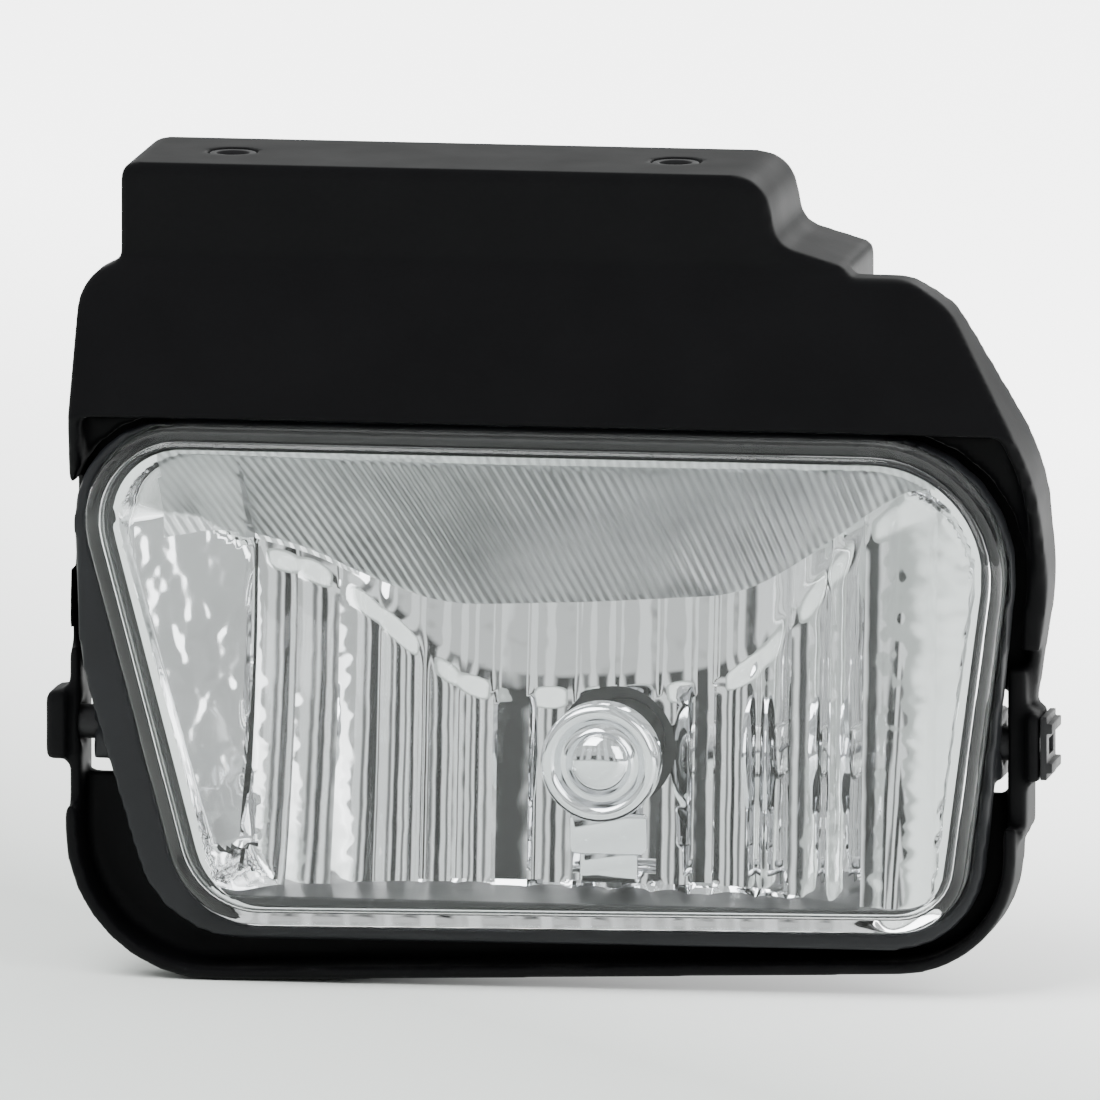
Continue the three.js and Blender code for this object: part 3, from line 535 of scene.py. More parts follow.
def slab(name, corners, low, high, edge, axis="Y"):
    """A plate with a rounded outline and softened edges, between two levels of one axis, in mm."""
    levels = [(low, edge), (low + 0.3 * edge, 0.3 * edge), (low + edge, 0.0),
              (high - edge, 0.0), (high - 0.3 * edge, 0.3 * edge), (high, edge)]
    rings = []
    for level, inset in levels:
        ring = outline_ring(rounded_outline(corners, inset, 6), level)
        if axis == "X":
            ring = ring[:, [1, 0, 2]]
        if axis == "Z":
            ring = ring[:, [0, 2, 1]]
        rings.append(ring)
    return ring_loft(name, rings)


# ---------------------------------------------------------------- geometry nodes
def node_group(name, inputs):
    """A geometry tree with named inputs; returns the tree, its input node and its output node."""
    tree = bpy.data.node_groups.new(name, "GeometryNodeTree")
    tree.interface.new_socket("Geometry", in_out="INPUT", socket_type="NodeSocketGeometry")
    for label, (kind, value) in inputs.items():
        socket = tree.interface.new_socket(label, in_out="INPUT", socket_type=kind)
        if value is not None:
            socket.default_value = value
    tree.interface.new_socket("Geometry", in_out="OUTPUT", socket_type="NodeSocketGeometry")
    return tree, add_node(tree, "NodeGroupInput"), add_node(tree, "NodeGroupOutput")


def close_tree(tree, given, result, geometry):
    """Realizes the instances, sets the material and ends the tree."""
    real = add_node(tree, "GeometryNodeRealizeInstances", links={"Geometry": geometry})
    coat = add_node(
        tree, "GeometryNodeSetMaterial",
        links={"Geometry": real.outputs["Geometry"], "Material": given.outputs["Material"]},
    )
    tree.links.new(coat.outputs["Geometry"], result.inputs["Geometry"])


def coil_tree():
    """A wire wound round the X axis."""
    tree, given, result = node_group("wound_wire", {
        "Turns": ("NodeSocketFloat", 8.0),
        "Length": ("NodeSocketFloat", 0.005),
        "Winding radius": ("NodeSocketFloat", 0.001),
        "Wire radius": ("NodeSocketFloat", 0.0002),
        "Steps": ("NodeSocketInt", 16),
        "Sides": ("NodeSocketInt", 6),
        "Material": ("NodeSocketMaterial", None),
    })
    spiral = add_node(tree, "GeometryNodeCurveSpiral", links={
        "Resolution": given.outputs["Steps"], "Rotations": given.outputs["Turns"],
        "Start Radius": given.outputs["Winding radius"],
        "End Radius": given.outputs["Winding radius"], "Height": given.outputs["Length"],
    })
    section = add_node(tree, "GeometryNodeCurvePrimitiveCircle", links={
        "Resolution": given.outputs["Sides"], "Radius": given.outputs["Wire radius"],
    })
    wire = add_node(tree, "GeometryNodeCurveToMesh", {"Fill Caps": True}, {
        "Curve": spiral.outputs["Curve"], "Profile Curve": section.outputs["Curve"],
    })
    close_tree(tree, given, result, wire.outputs["Mesh"])
    return tree


def places_tree():
    """Copies of one piece at every point of the base mesh."""
    tree, given, result = node_group("pieces_at_places", {
        "Piece": ("NodeSocketObject", None),
        "Material": ("NodeSocketMaterial", None),
    })
    piece = add_node(tree, "GeometryNodeObjectInfo", links={"Object": given.outputs["Piece"]})
    spread = add_node(tree, "GeometryNodeInstanceOnPoints", links={
        "Points": given.outputs["Geometry"], "Instance": piece.outputs["Geometry"],
    })
    close_tree(tree, given, result, spread.outputs["Instances"])
    return tree


def circle_tree():
    """Copies of one piece round the Y axis, each turned to face outwards."""
    tree, given, result = node_group("pieces_round_axis", {
        "Count": ("NodeSocketInt", 12),
        "Piece": ("NodeSocketObject", None),
        "Material": ("NodeSocketMaterial", None),
    })
    points = add_node(tree, "GeometryNodeMeshLine", {"Offset": (0.0, 0.0, 0.0)},
                      {"Count": given.outputs["Count"]})
    index = add_node(tree, "GeometryNodeInputIndex")
    step = add_node(tree, "ShaderNodeMath", {"operation": "DIVIDE", 0: 2 * math.pi},
                    {1: given.outputs["Count"]})
    angle = add_node(tree, "ShaderNodeMath", {"operation": "MULTIPLY"},
                     {0: index.outputs["Index"], 1: step.outputs["Value"]})
    turn = add_node(tree, "ShaderNodeCombineXYZ", links={"Y": angle.outputs["Value"]})
    piece = add_node(tree, "GeometryNodeObjectInfo", links={"Object": given.outputs["Piece"]})
    spread = add_node(tree, "GeometryNodeInstanceOnPoints", links={
        "Points": points.outputs["Mesh"], "Instance": piece.outputs["Geometry"],
        "Rotation": turn.outputs["Vector"],
    })
    close_tree(tree, given, result, spread.outputs["Instances"])
    return tree


def grown(name, tree, values, base=None):
    """Runs a geometry tree on a new object and keeps its result as a plain mesh."""
    made = linked(name, base or bpy.data.meshes.new(name))
    modifier = made.modifiers.new("grown", "NODES")
    modifier.node_group = tree
    identifiers = {
        item.name: item.identifier for item in tree.interface.items_tree
        if item.item_type == "SOCKET" and item.in_out == "INPUT"
    }
    for label, value in values.items():
        modifier[identifiers[label]] = value
    return apply_modifiers(made)


def at_mm(x, y, z):
    """A move to a point given in millimetres from the lens datum."""
    return Matrix.Translation(DATUM + Vector((x, y, z)) * MM)


# ---------------------------------------------------------------- the lamp's outline
# The lens's corners, as X, Z and radius in mm from the lens datum.
LENS_CORNERS = ((-71.3, -52.0, 19.0), (85.0, -50.0, 14.0), (97.8, 48.6, 27.0), (-97.5, 48.6, 19.0))


def inside_span(outline, x):
    """Lowest and highest Z of a closed outline at X = x."""
    low, high = math.inf, -math.inf
    for (x0, z0), (x1, z1) in zip(outline, np.roll(outline, -1, axis=0)):
        if min(x0, x1) <= x <= max(x0, x1) and x0 != x1:
            z = z0 + (z1 - z0) * (x - x0) / (x1 - x0)
            low, high = min(low, z), max(high, z)
    return low, high


def edge_distance(points, outline):
    """Distance of each (x, z) point from a closed outline."""
    best = np.full(len(points), np.inf)
    for a, b in zip(outline, np.roll(outline, -1, axis=0)):
        span = b - a
        length = max(span @ span, 1e-9)
        share = np.clip(((points - a) @ span) / length, 0, 1)
        best = np.minimum(best, np.linalg.norm(points - a - share[:, None] * span, axis=1))
    return best


def tree_of(node):
    """A ray-casting tree of a CAD node."""
    mesh = frame["nodes"][node].data
    faces = [list(face.vertices) for face in mesh.polygons]
    return BVHTree.FromPolygons([corner.co for corner in mesh.vertices], faces)


def hit_depth(tree, x, z, start, direction):
    """Depth in mm where a ray along Y through (x, z) meets the tree, or None."""
    hit = tree.ray_cast(DATUM + Vector((x, start, z)) * MM, Vector((0, direction, 0)))
    return datum_mm(hit[0]).y if hit[0] else None


# ---------------------------------------------------------------- settings
class FogLightSettings(bpy.types.PropertyGroup):
    """Sizes and colours a user would change."""
    lens_wall: FloatProperty(
        name="Lens wall", description="Thickness of the clear lens", default=2.6 * MM,
        min=1.5 * MM, max=4 * MM, unit="LENGTH")
    lens_crown: FloatProperty(
        name="Lens crown", description="How far the lens front bulges over its edge",
        default=1.2 * MM, min=0.0, max=3 * MM, unit="LENGTH")
    flute_sag: FloatProperty(
        name="Flute sag", description="Hollow of a 10 mm wide reflector flute",
        default=0.75 * MM, min=0.0, max=2 * MM, unit="LENGTH")
    thread_pitch: FloatProperty(
        name="Thread pitch", description="Pitch of the aiming screw",
        default=2 * MM, min=0.5 * MM, max=4 * MM, unit="LENGTH")
    filament_turns: IntProperty(
        name="Filament turns", description="Turns of the bulb's filament",
        default=14, min=3, max=40)
    grip_ribs: IntProperty(
        name="Grip ribs", description="Ribs round the bulb's twist cap", default=30, min=6, max=60)
    reflector_colour: FloatVectorProperty(
        name="Reflector", description="Colour of the metallised layer", subtype="COLOR", size=4,
        min=0.0, max=1.0, default=srgb("#ececed"))
    # The floor's front colour is painted shade on the pale paper.
    floor_front_painted_shade: FloatVectorProperty(
        name="Floor front", description="Colour of the floor in front of the lamp", subtype="COLOR",
        size=4, min=0.0, max=1.0, default=srgb("#d2d6d3"))
    camera_azimuth: FloatProperty(
        name="Camera azimuth", description="Angle of the camera round the lamp",
        default=math.radians(9), subtype="ANGLE")
    camera_elevation: FloatProperty(
        name="Camera elevation", description="Angle of the camera above the horizon",
        default=math.radians(8.6), subtype="ANGLE")


# ---------------------------------------------------------------- bracket side
class FOGLIGHT_OT_bracket(bpy.types.Operator):
    """Moulds the black bracket with its hood, shelf, frame and ears"""
    bl_idname = "foglight.bracket"
    bl_label = "Mounting bracket"

    def execute(self, context):
        made = refined_copy("mounting_bracket", "bracket_moulding", 1.05, 4)
        finish_piece(made, "bracket", "black_moulding", moulded_black_polypropylene(),
                     "mounting_bracket")
        return {"FINISHED"}


class FOGLIGHT_OT_pivots(bpy.types.Operator):
    """Turns the two pivot pins and presses the spring clip"""
    bl_idname = "foglight.pivots"
    bl_label = "Pivot pins and clip"

    def execute(self, context):
        for side in ("left", "right"):
            bevelled_piece(f"pivot_pin_{side}", f"pivot_pin_turned_{side}", 0.5,
                           "lamp", "black_steel", black_phosphated_steel(), 3)
        bevelled_piece("pivot_clip", "pivot_spring_clip", 0.2,
                       "bracket", "black_steel", black_phosphated_steel())
        return {"FINISHED"}


class FOGLIGHT_OT_sleeves(bpy.types.Operator):
    """Turns the two steel sleeves that line the mounting holes"""
    bl_idname = "foglight.sleeves"
    bl_label = "Bolt sleeves"

    def execute(self, context):
        for side in ("left", "right"):
            bevelled_piece(f"bolt_sleeve_{side}", f"bolt_sleeve_turned_{side}", 0.3,
                           "bracket", "black_steel", black_phosphated_steel())
        return {"FINISHED"}


# ---------------------------------------------------------------- lamp
class FOGLIGHT_OT_lens(bpy.types.Operator):
    """Moulds the clear lens and lays its seal"""
    bl_idname = "foglight.lens"
    bl_label = "Lens and seal"

    def execute(self, context):
        settings = context.scene.fog_light
        wall, crown = settings.lens_wall / MM, settings.lens_crown / MM
        outer = self.shell(0, crown, 3.0, crown)
        inner = self.shell(wall, crown + wall, 1.5, crown)
        made = smooth(ring_loft("lens_cover", inner[::-1] + outer), 50)
        finish_piece(made, "lamp", "clear_lens", clear_polycarbonate(), "lens")
        dress_node("lens_seal", black_epdm_rubber())
        return {"FINISHED"}


    @staticmethod
    def shell(inset, front, edge, rise):
        """Rings over one side of the lens: up its skirt, round its edge and over its front."""
        count, skirt_end = 280, 10.0
        middle = np.array([3.0, -0.5])
        rings = [outline_ring(even_outline(rounded_outline(LENS_CORNERS, inset), count), skirt_end)]
        for step in range(7):
            angle = math.pi / 2 * step / 6
            round_in = inset + edge * (1 - math.cos(angle))
            outline = even_outline(rounded_outline(LENS_CORNERS, round_in), count)
            rings.append(outline_ring(outline, front + edge * (1 - math.sin(angle))))
        outline = even_outline(rounded_outline(LENS_CORNERS, inset + edge), count)
        for share in (0.985, 0.96, 0.92, 0.85, 0.75, 0.62, 0.48, 0.33, 0.18, 0.05):
            points = middle + (outline - middle) * share
            rings.append(outline_ring(points, front - rise * (1 - share ** 2.4)))
        return rings


# The housing's hollow, in mm: where it ends, where it starts, and how square it is.
CAVITY_END = 48.6
RIM_FRONT = 8.5
CAVITY_POWER = 5.0
# The reflector, in mm: its wall, the depth of its front rim, its hole for the bulb, the least gap
# to the housing.
REFLECTOR_WALL = 1.6
REFLECTOR_RIM = 8.6
BULB_HOLE = 12.2
HOUSING_GAP = 1.2
# The slot that parts the reflector's left wing from its dish.
SLOT_X = -63.0
SLOT_WIDTH = 0.7
# Rows of the skin: heights over the floor's edge, then how many on the dish and on the ceiling.
FLOOR_ROWS = (0.0, 0.5, 1.0, 1.5, 2.0, 2.6, 3.4)
DISH_ROWS, CEILING_ROWS = 70, 46
# The dish's forward lean (mm of depth for each mm of height), and the calm band under the ceiling.
DISH_LEAN = 0.11
CALM_BAND = 15
# How far the left wing's upright lines bow to the right.
WING_BOW = 2.2
# The floor starts below this height. It lies almost along the lamp's axis.
FLOOR_TOP = -38
FLOOR_STEEPNESS = 11.0
# X of the edges between the upright flutes.
FLUTE_EDGES = (-92.0, -80.5, -72.4, -63.0, -54.8, -46.0, -37.4, -27.9, -20.8, -13.4, -6.0, 2.5,
               10.8, 19.5, 27.0, 31.4, 41.0, 47.5, 56.0, 64.0, 71.4, 80.5, 95.0)
# Slope added to each flute, and how hollow it is against the common sag.
FLUTE_LEAN = (0.0, 0.08, -0.06, 0.1, -0.08, 0.08, -0.1, 0.06, -0.1, -0.08, -0.08, 0.06, -0.06, 0.06,
              0.02, 0.1, -0.12, 0.12, -0.08, 0.1, -0.1, 0.0)
FLUTE_HOLLOW = (0.6, 1.0, 1.1, 1.0, 1.2, 1.0, 1.3, 0.9, 1.1, 0.15, 1.0, 1.2, 1.2, 1.0, 0.15, 1.2,
                0.8, 1.2, 1.0, 1.1, 0.9, 0.6)
# Pairs of X and the dish's depth there, then of X and the height of the ceiling's lower edge.
DISH_DEPTH = ((-92, 9), (-86, 12), (-81, 18), (-74, 24), (-69.4, 26), (-64, 28.5), (-52.7, 31),
              (-39, 36.5), (-24, 39.5), (7, 40.5), (35.5, 38.5), (41.7, 36), (52.6, 29.5),
              (58.5, 25), (64.8, 21.3), (69.9, 17.3), (80, 12.5), (92, 9))
CEILING_EDGE = ((-92, 27), (-81, 24.2), (-74, 25), (-69.4, 26.6), (-64, 24), (-52.7, 21.3),
                (-39, 14), (-24, 8.8), (7, 10), (35.5, 12.4), (41.7, 15.7), (52.6, 22.9),
                (58.5, 28), (64.8, 32), (69.9, 36.5), (78, 39.5), (92, 40.5))


def table_value(table, x):
    """The table's value at `x`, averaged over a few millimetres so that its corners are soft."""
    at, values = zip(*table)
    near = [np.interp(x + shift, at, values) for shift in (-6, -4, -2, 0, 2, 4, 6)]
    return float(np.mean(near))


class FOGLIGHT_OT_reflector(bpy.types.Operator):
    """Presses the metallised reflector with its flutes, ribbed ceiling and floor"""
    bl_idname = "foglight.reflector"
    bl_label = "Reflector"

    def execute(self, context):
        sag = context.scene.fog_light.flute_sag / MM
        outline = rounded_outline(LENS_CORNERS, [2.9, 4.9, 4.9, 4.9], 24)
        columns, slot = self.flute_columns(outline)
        grid = np.array([self.column_points(column, outline, sag) for column in columns])
        points = self.drawn_in(grid, columns, outline)
        rows = grid.shape[1]
        faces = []
        for i in range(len(columns) - 1):
            for j in range(rows - 1):
                if i == slot and len(FLOOR_ROWS) < j < len(FLOOR_ROWS) + DISH_ROWS - 3:
                    continue
                a = i * rows + j
                faces.append((a, a + rows, a + rows + 1, a + 1))
        made = build_object("reflector_bowl", points, faces)
        # The skin's faces look forwards, so its thickness goes backwards.
        if sum(face.normal.y * face.area for face in made.data.polygons) > 0:
            made.data.flip_normals()
        thickness = made.modifiers.new("wall", "SOLIDIFY")
        thickness.thickness = REFLECTOR_WALL * MM
        thickness.offset = -1.0
        drill = [(0, 20), (BULB_HOLE, 20), (BULB_HOLE, 60), (0, 60)]
        cutter = lathe("bulb_hole", drill, (BULB.x, BULB.z), 72)
        hole = made.modifiers.new("hole", "BOOLEAN")
        hole.object = cutter
        hole.operation = "DIFFERENCE"
        hole.solver = "EXACT"
        apply_modifiers(made)
        bpy.data.objects.remove(cutter)
        smooth(made, 24)
        finish_piece(made, "lamp", "aluminised", aluminised_lacquer(), "reflector")
        self.rib_ceiling(made)
        return {"FINISHED"}

    @staticmethod
    def flute_columns(outline):
        """Columns of the skin as (X, place in flute, flute width, lean, hollow), and the slot's."""
        left, right = outline[:, 0].min() + 0.15, outline[:, 0].max() - 0.15
        columns = []
        for low, high, lean, hollow in zip(FLUTE_EDGES, FLUTE_EDGES[1:], FLUTE_LEAN, FLUTE_HOLLOW):
            steps = max(8, round((high - low) / 0.8))
            for step in range(steps):
                x = low + (high - low) * step / steps
                if left < x < right:
                    columns.append((x, 2 * step / steps - 1, high - low, lean, hollow))
        slot = [column[0] for column in columns].index(SLOT_X)
        columns[slot:slot + 1] = [(SLOT_X - SLOT_WIDTH / 2, *columns[slot - 1][1:]),
                                  (SLOT_X + SLOT_WIDTH / 2, *columns[slot][1:])]
        return [(left, *columns[0][1:]), *columns, (right, *columns[-1][1:])], slot + 1

    @staticmethod
    def column_points(column, outline, sag):
        """Points up one column of the skin: a strip of floor, the dish, then the ceiling."""
        x, t, span, lean, hollow = column
        z_low, z_high = inside_span(outline, x)
        z_bend = min(max(table_value(CEILING_EDGE, x), z_low + 4.0), z_high - 1.0)
        if z_high - z_low < 8:
            z_bend = (z_low + z_high) / 2
        near = min(FLOOR_ROWS[-1], (z_bend - z_low) * 0.4)
        z = np.r_[
            z_low + near * np.array(FLOOR_ROWS) / FLOOR_ROWS[-1],
            np.linspace(z_low + near, z_bend, DISH_ROWS + 1)[1:],
            np.linspace(z_bend, z_high, CEILING_ROWS + 1)[1:],
        ]
        depth = table_value(DISH_DEPTH, x)
        # The band just under the ceiling is calmer and leans forward more than the dish below it.
        calm = CALM_BAND * math.exp(-((x - 10) / 42) ** 4)
        fall = min(DISH_LEAN, max(depth - 9.2, 0.4) / (z_bend - z_low))
        dish = depth - fall * (z_bend - z) - 0.5 * fall * np.minimum(z_bend - z, calm)
        fade = np.clip((z_bend - z - calm) / 6, 0.35, 1)
        dish = dish + fade * (hollow * sag * (span / 10) * (1 - t * t) + lean * t * span / 2)
        ceiling = depth + (REFLECTOR_RIM - depth) * (z - z_bend) / max(z_high - z_bend, 0.5)
        y = np.where(z <= z_bend, dish, ceiling)
        bow = WING_BOW * math.exp(-((x + 62) / 22) ** 2)
        share = np.linspace(-1, 1, len(z))
        return np.stack([x + bow * (1 - share ** 2), y, z], axis=1)

    def drawn_in(self, grid, columns, outline):
        """The skin's points, no deeper than the side walls, the floor and the housing allow."""
        points = grid.reshape(-1, 3)
        from_edge = edge_distance(points[:, [0, 2]], outline)
        steepness = np.interp(points[:, 0], [SLOT_X + 1, SLOT_X + 12], [0.85, 5.0])
        wall = REFLECTOR_RIM + from_edge * steepness
        # The flutes run on over the floor as shallow hollows.
        scallop = [0.4 * hollow * (1 - t * t) for _, t, _, _, hollow in columns]
        scallop = np.repeat(scallop, grid.shape[1]) * np.clip(from_edge, 0, 1)
        floor = REFLECTOR_RIM + (from_edge + scallop) * FLOOR_STEEPNESS
        wall = np.where(points[:, 2] < FLOOR_TOP, floor, wall)
        points[:, 1] = np.minimum(points[:, 1], wall)
        least = RIM_FRONT + 0.1
        room = np.maximum(self.room_in_housing(points), least)
        points[:, 1] = np.maximum(np.minimum(points[:, 1], room), least)
        return points

    @staticmethod
    def room_in_housing(points):
        """Greatest depth at each point that leaves the reflector's wall clear of the housing."""
        cavity = even_outline(rounded_outline(LENS_CORNERS, [-4.9, 4.1, 4.1, 4.1], 16), 720)
        cavity = cavity - (BULB.x, BULB.z)
        angles = np.arctan2(cavity[:, 1], cavity[:, 0])
        order = np.argsort(angles)
        radii = np.linalg.norm(cavity, axis=1)
        away = points[:, [0, 2]] - (BULB.x, BULB.z)
        toward = np.arctan2(away[:, 1], away[:, 0])
        reach = np.interp(toward, angles[order], radii[order], period=2 * math.pi)
        share = np.clip((np.linalg.norm(away, axis=1) + 2.0) / reach, 0, 1)
        hollow = CAVITY_END - (CAVITY_END - RIM_FRONT) * share ** CAVITY_POWER
        return hollow - HOUSING_GAP

    @staticmethod
    def rib_ceiling(made):
        """Gives the ceiling's faces, between the side walls, the ribbed material with its painted
        rib shade.
        """
        made.data.materials.append(aluminised_ribbed_painted_shade())
        edge_x = np.linspace(-95, 95, 191)
        edge_z = [table_value(CEILING_EDGE, x) for x in edge_x]
        for face in made.data.polygons:
            place = datum_mm(face.center)
            if place.z > np.interp(place.x, edge_x, edge_z) and -78 < place.x < 82:
                face.material_index = 1


class FOGLIGHT_OT_housing(bpy.types.Operator):
    """Moulds the lamp housing with its stiffening ribs, and fits the vent"""
    bl_idname = "foglight.housing"
    bl_label = "Lamp housing and vent"

    def execute(self, context):
        tree = tree_of("lamp_housing")
        ribs = [self.rib(tree, x, low, high) for x, low, high in self.RIBS]
        made = refined_copy("lamp_housing", "housing_moulding", 1.0, 4, ribs)
        finish_piece(made, "lamp", "grey_housing", moulded_dark_polyester(), "lamp_housing")
        bevelled_piece("vent_cap", "vent_cap_moulded", 0.6,
                       "lamp", "black_rubber", black_epdm_rubber(), 3)
        return {"FINISHED"}

    # X, lowest Z and highest Z of each upright stiffening rib.
    RIBS = ((-68, -30, 14), (-56, -36, 16), (-48, -38, 10), (-20, -40, 12), (-11, -40, 14),
            (31, -40, 12), (50, -36, 16), (66, -34, 18), (75, -30, 16))

    @staticmethod
    def rib(tree, x, low, high, wall=1.8, rise=2.4):
        """An upright rib that stands `rise` out of the bowl's rear face."""
        far_behind, root, run_out = 120.0, 1.4, 5
        levels = np.linspace(low, high, 28)
        rear = np.array([hit_depth(tree, x, z, far_behind, -1) for z in levels])
        proud = rear + rise * np.clip(np.minimum(levels - low, high - levels) / run_out, 0, 1)
        depths, heights = np.r_[rear - root, proud[::-1]], np.r_[levels, levels[::-1]]
        rings = [np.stack([np.full(len(depths), x + side * wall / 2), depths, heights], 1)
                 for side in (-1, 1)]
        return ring_loft("rib", rings)


class FOGLIGHT_OT_screws(bpy.types.Operator):
    """Sets the three screws that hold the reflector"""
    bl_idname = "foglight.screws"
    bl_label = "Reflector screws"

    def execute(self, context):
        names = [f"reflector_screw_{i}" for i in (1, 2, 3)]
        lows, highs = zip(*(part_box(name) for name in names))
        depth = (highs[0].y - lows[0].y) / MM
        heads = [((low.x + high.x) / 2, high.y, (low.z + high.z) / 2)
                 for low, high in zip(lows, highs)]
        # Half of the screw's section, as radius and depth from its head's top, in mm.
        profile = [(0, -depth), (0.9, -depth + 0.4), (1.6, -depth + 1.8), (1.6, -2.5), (3.4, -2.4),
                   (3.6, -2.0), (3.55, -1.0), (3.1, -0.4), (2.3, -0.1), (1.9, 0), (1.6, -0.2),
                   (1.5, -1.2), (0, -1.3)]
        body = lathe("screw_body", profile, (0, 0), 32)
        recess = slab("screw_recess", rectangle(-1.6, 1.6, -0.35, 0.35, 0.1), -1.25, -0.95, 0.08)
        piece = merged("screw", [body, recess])
        piece.data.transform(Matrix.Translation(-DATUM))
        places = bpy.data.meshes.new("screw_places")
        places.from_pydata(heads, [], [])
        made = grown("reflector_screws", places_tree(),
                     {"Piece": piece, "Material": zinc_plated_steel()}, places)
        bpy.data.objects.remove(piece)
        smooth(made, 35)
        finish_piece(made, "lamp", "zinc_steel", zinc_plated_steel(), *names)
        return {"FINISHED"}


class FOGLIGHT_OT_shield(bpy.types.Operator):
    """Presses the chromed bulb shield with its stepped foot, and sets its rivet"""
    bl_idname = "foglight.shield"
    bl_label = "Bulb shield"

    def execute(self, context):
        # Half of the cup's section, as radius and depth in mm: domed front, ring, rim, inside.
        profile = [(0, 12.0), (1.6, 12.05), (3.4, 12.35), (4.8, 12.95), (5.6, 13.6), (6.3, 14.5),
                   (7.0, 15.1), (7.9, 15.2), (8.5, 14.7), (9.1, 13.9), (9.8, 13.45), (10.7, 13.4),
                   (11.5, 13.8), (11.9, 14.5), (12.0, 15.4), (12.0, 20.0), (11.4, 20.0),
                   (11.4, 15.6), (10.6, 15.9), (0, 16.2)]
        cup = lathe("shield_cup", profile, (BULB.x, BULB.z), 96)
        sheet, neck_half, leg_half, foot_length = 1.2, 7.8, 5.8, 11
        middle, leg_front = BULB.x + 1.4, 18.0
        low = datum_mm(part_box("bulb_shield")[0]).z
        neck = slab(
            "shield_neck",
            rectangle(middle - neck_half, middle + neck_half, low + 5.8, low + 14, 1.6, 1.0),
            leg_front - sheet / 2, leg_front + sheet, 0.35)
        leg = slab(
            "shield_leg", rectangle(middle - leg_half, middle + leg_half, low, low + 6.8, 0.4, 1.6),
            leg_front, leg_front + sheet, 0.3)
        foot = slab(
            "shield_foot",
            rectangle(middle - leg_half, middle + leg_half, leg_front, leg_front + foot_length,
                      0.6, 1.6),
            low, low + sheet, 0.25, "Z")
        made = smooth(merged("bulb_shield_pressing", [cup, neck, leg, foot]), 40)
        finish_piece(made, "lamp", "chrome", chromed_steel(), "bulb_shield")
        bevelled_piece("shield_rivet", "shield_rivet_headed", 0.4,
                       "lamp", "zinc_steel", zinc_plated_steel(), 3)
        return {"FINISHED"}


# ---------------------------------------------------------------- bulb
class FOGLIGHT_OT_bulb(bpy.types.Operator):
    """Blows the bulb capsule, winds its filament and fits ferrule and leads"""
    bl_idname = "foglight.bulb"
    bl_label = "Bulb"

    def execute(self, context):
        settings = context.scene.fog_light
        tip, rear, radius = BULB_LOW.y, BULB_HIGH.y, (BULB_HIGH.x - BULB_LOW.x) / 2
        # A sealed nipple at the tip, a dome behind it, then a straight tube.
        nipple, dome, glass = 1.5, 4.6, 0.8
        outer = [(0, tip), (0.7, tip + 0.1), (1.1, tip + 0.6), (nipple, tip + 1.1)]
        for step in range(1, 9):
            angle = math.pi / 2 * step / 8
            outer.append((nipple + (radius - nipple) * math.sin(angle),
                          tip + 1.2 + dome * (1 - math.cos(angle))))
        outer += [(radius, rear)]
        inner = [(radius - glass, rear)]
        inner += [(max(r - glass, 0.0), y + glass) for r, y in outer[-2:2:-1]]
        inner += [(0, tip + 2.0)]
        capsule = smooth(lathe("bulb_glass", outer + inner, (BULB.x, BULB.z), 64), 60)
        finish_piece(capsule, "bulb", "clear_glass", hard_glass(), "bulb_capsule")
        low, high = (datum_mm(corner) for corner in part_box("bulb_filament"))
        length = high.x - low.x
        middle = (low + high) / 2
        coil = grown("filament_coil", coil_tree(), {
            "Turns": float(settings.filament_turns), "Length": length * MM,
            "Winding radius": 0.5 * MM, "Wire radius": 0.12 * MM, "Steps": 16, "Sides": 6,
            "Material": drawn_tungsten(),
        })
        coil.data.transform(at_mm(middle.x - length / 2, middle.y, middle.z)
                            @ Matrix.Rotation(math.pi / 2, 4, "Y"))
        smooth(coil, 60)
        finish_piece(coil, "bulb", "tungsten", drawn_tungsten(), "bulb_filament")
        bevelled_piece("bulb_ferrule", "bulb_ferrule_pressed", 0.3,
                       "bulb", "zinc_steel", zinc_plated_steel())
        for side in ("left", "right"):
            node = f"lead_wire_{side}"
            low, high = (datum_mm(corner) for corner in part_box(node))
            centre = ((low.x + high.x) / 2, (low.z + high.z) / 2)
            profile = [(0, low.y), (0.3, low.y + 0.1), (0.35, low.y + 0.4), (0.35, high.y),
                       (0, high.y)]
            wire = smooth(lathe(f"lead_{side}", profile, centre, 16), 50)
            finish_piece(wire, "bulb", "zinc_steel", drawn_tungsten(), node)
        return {"FINISHED"}


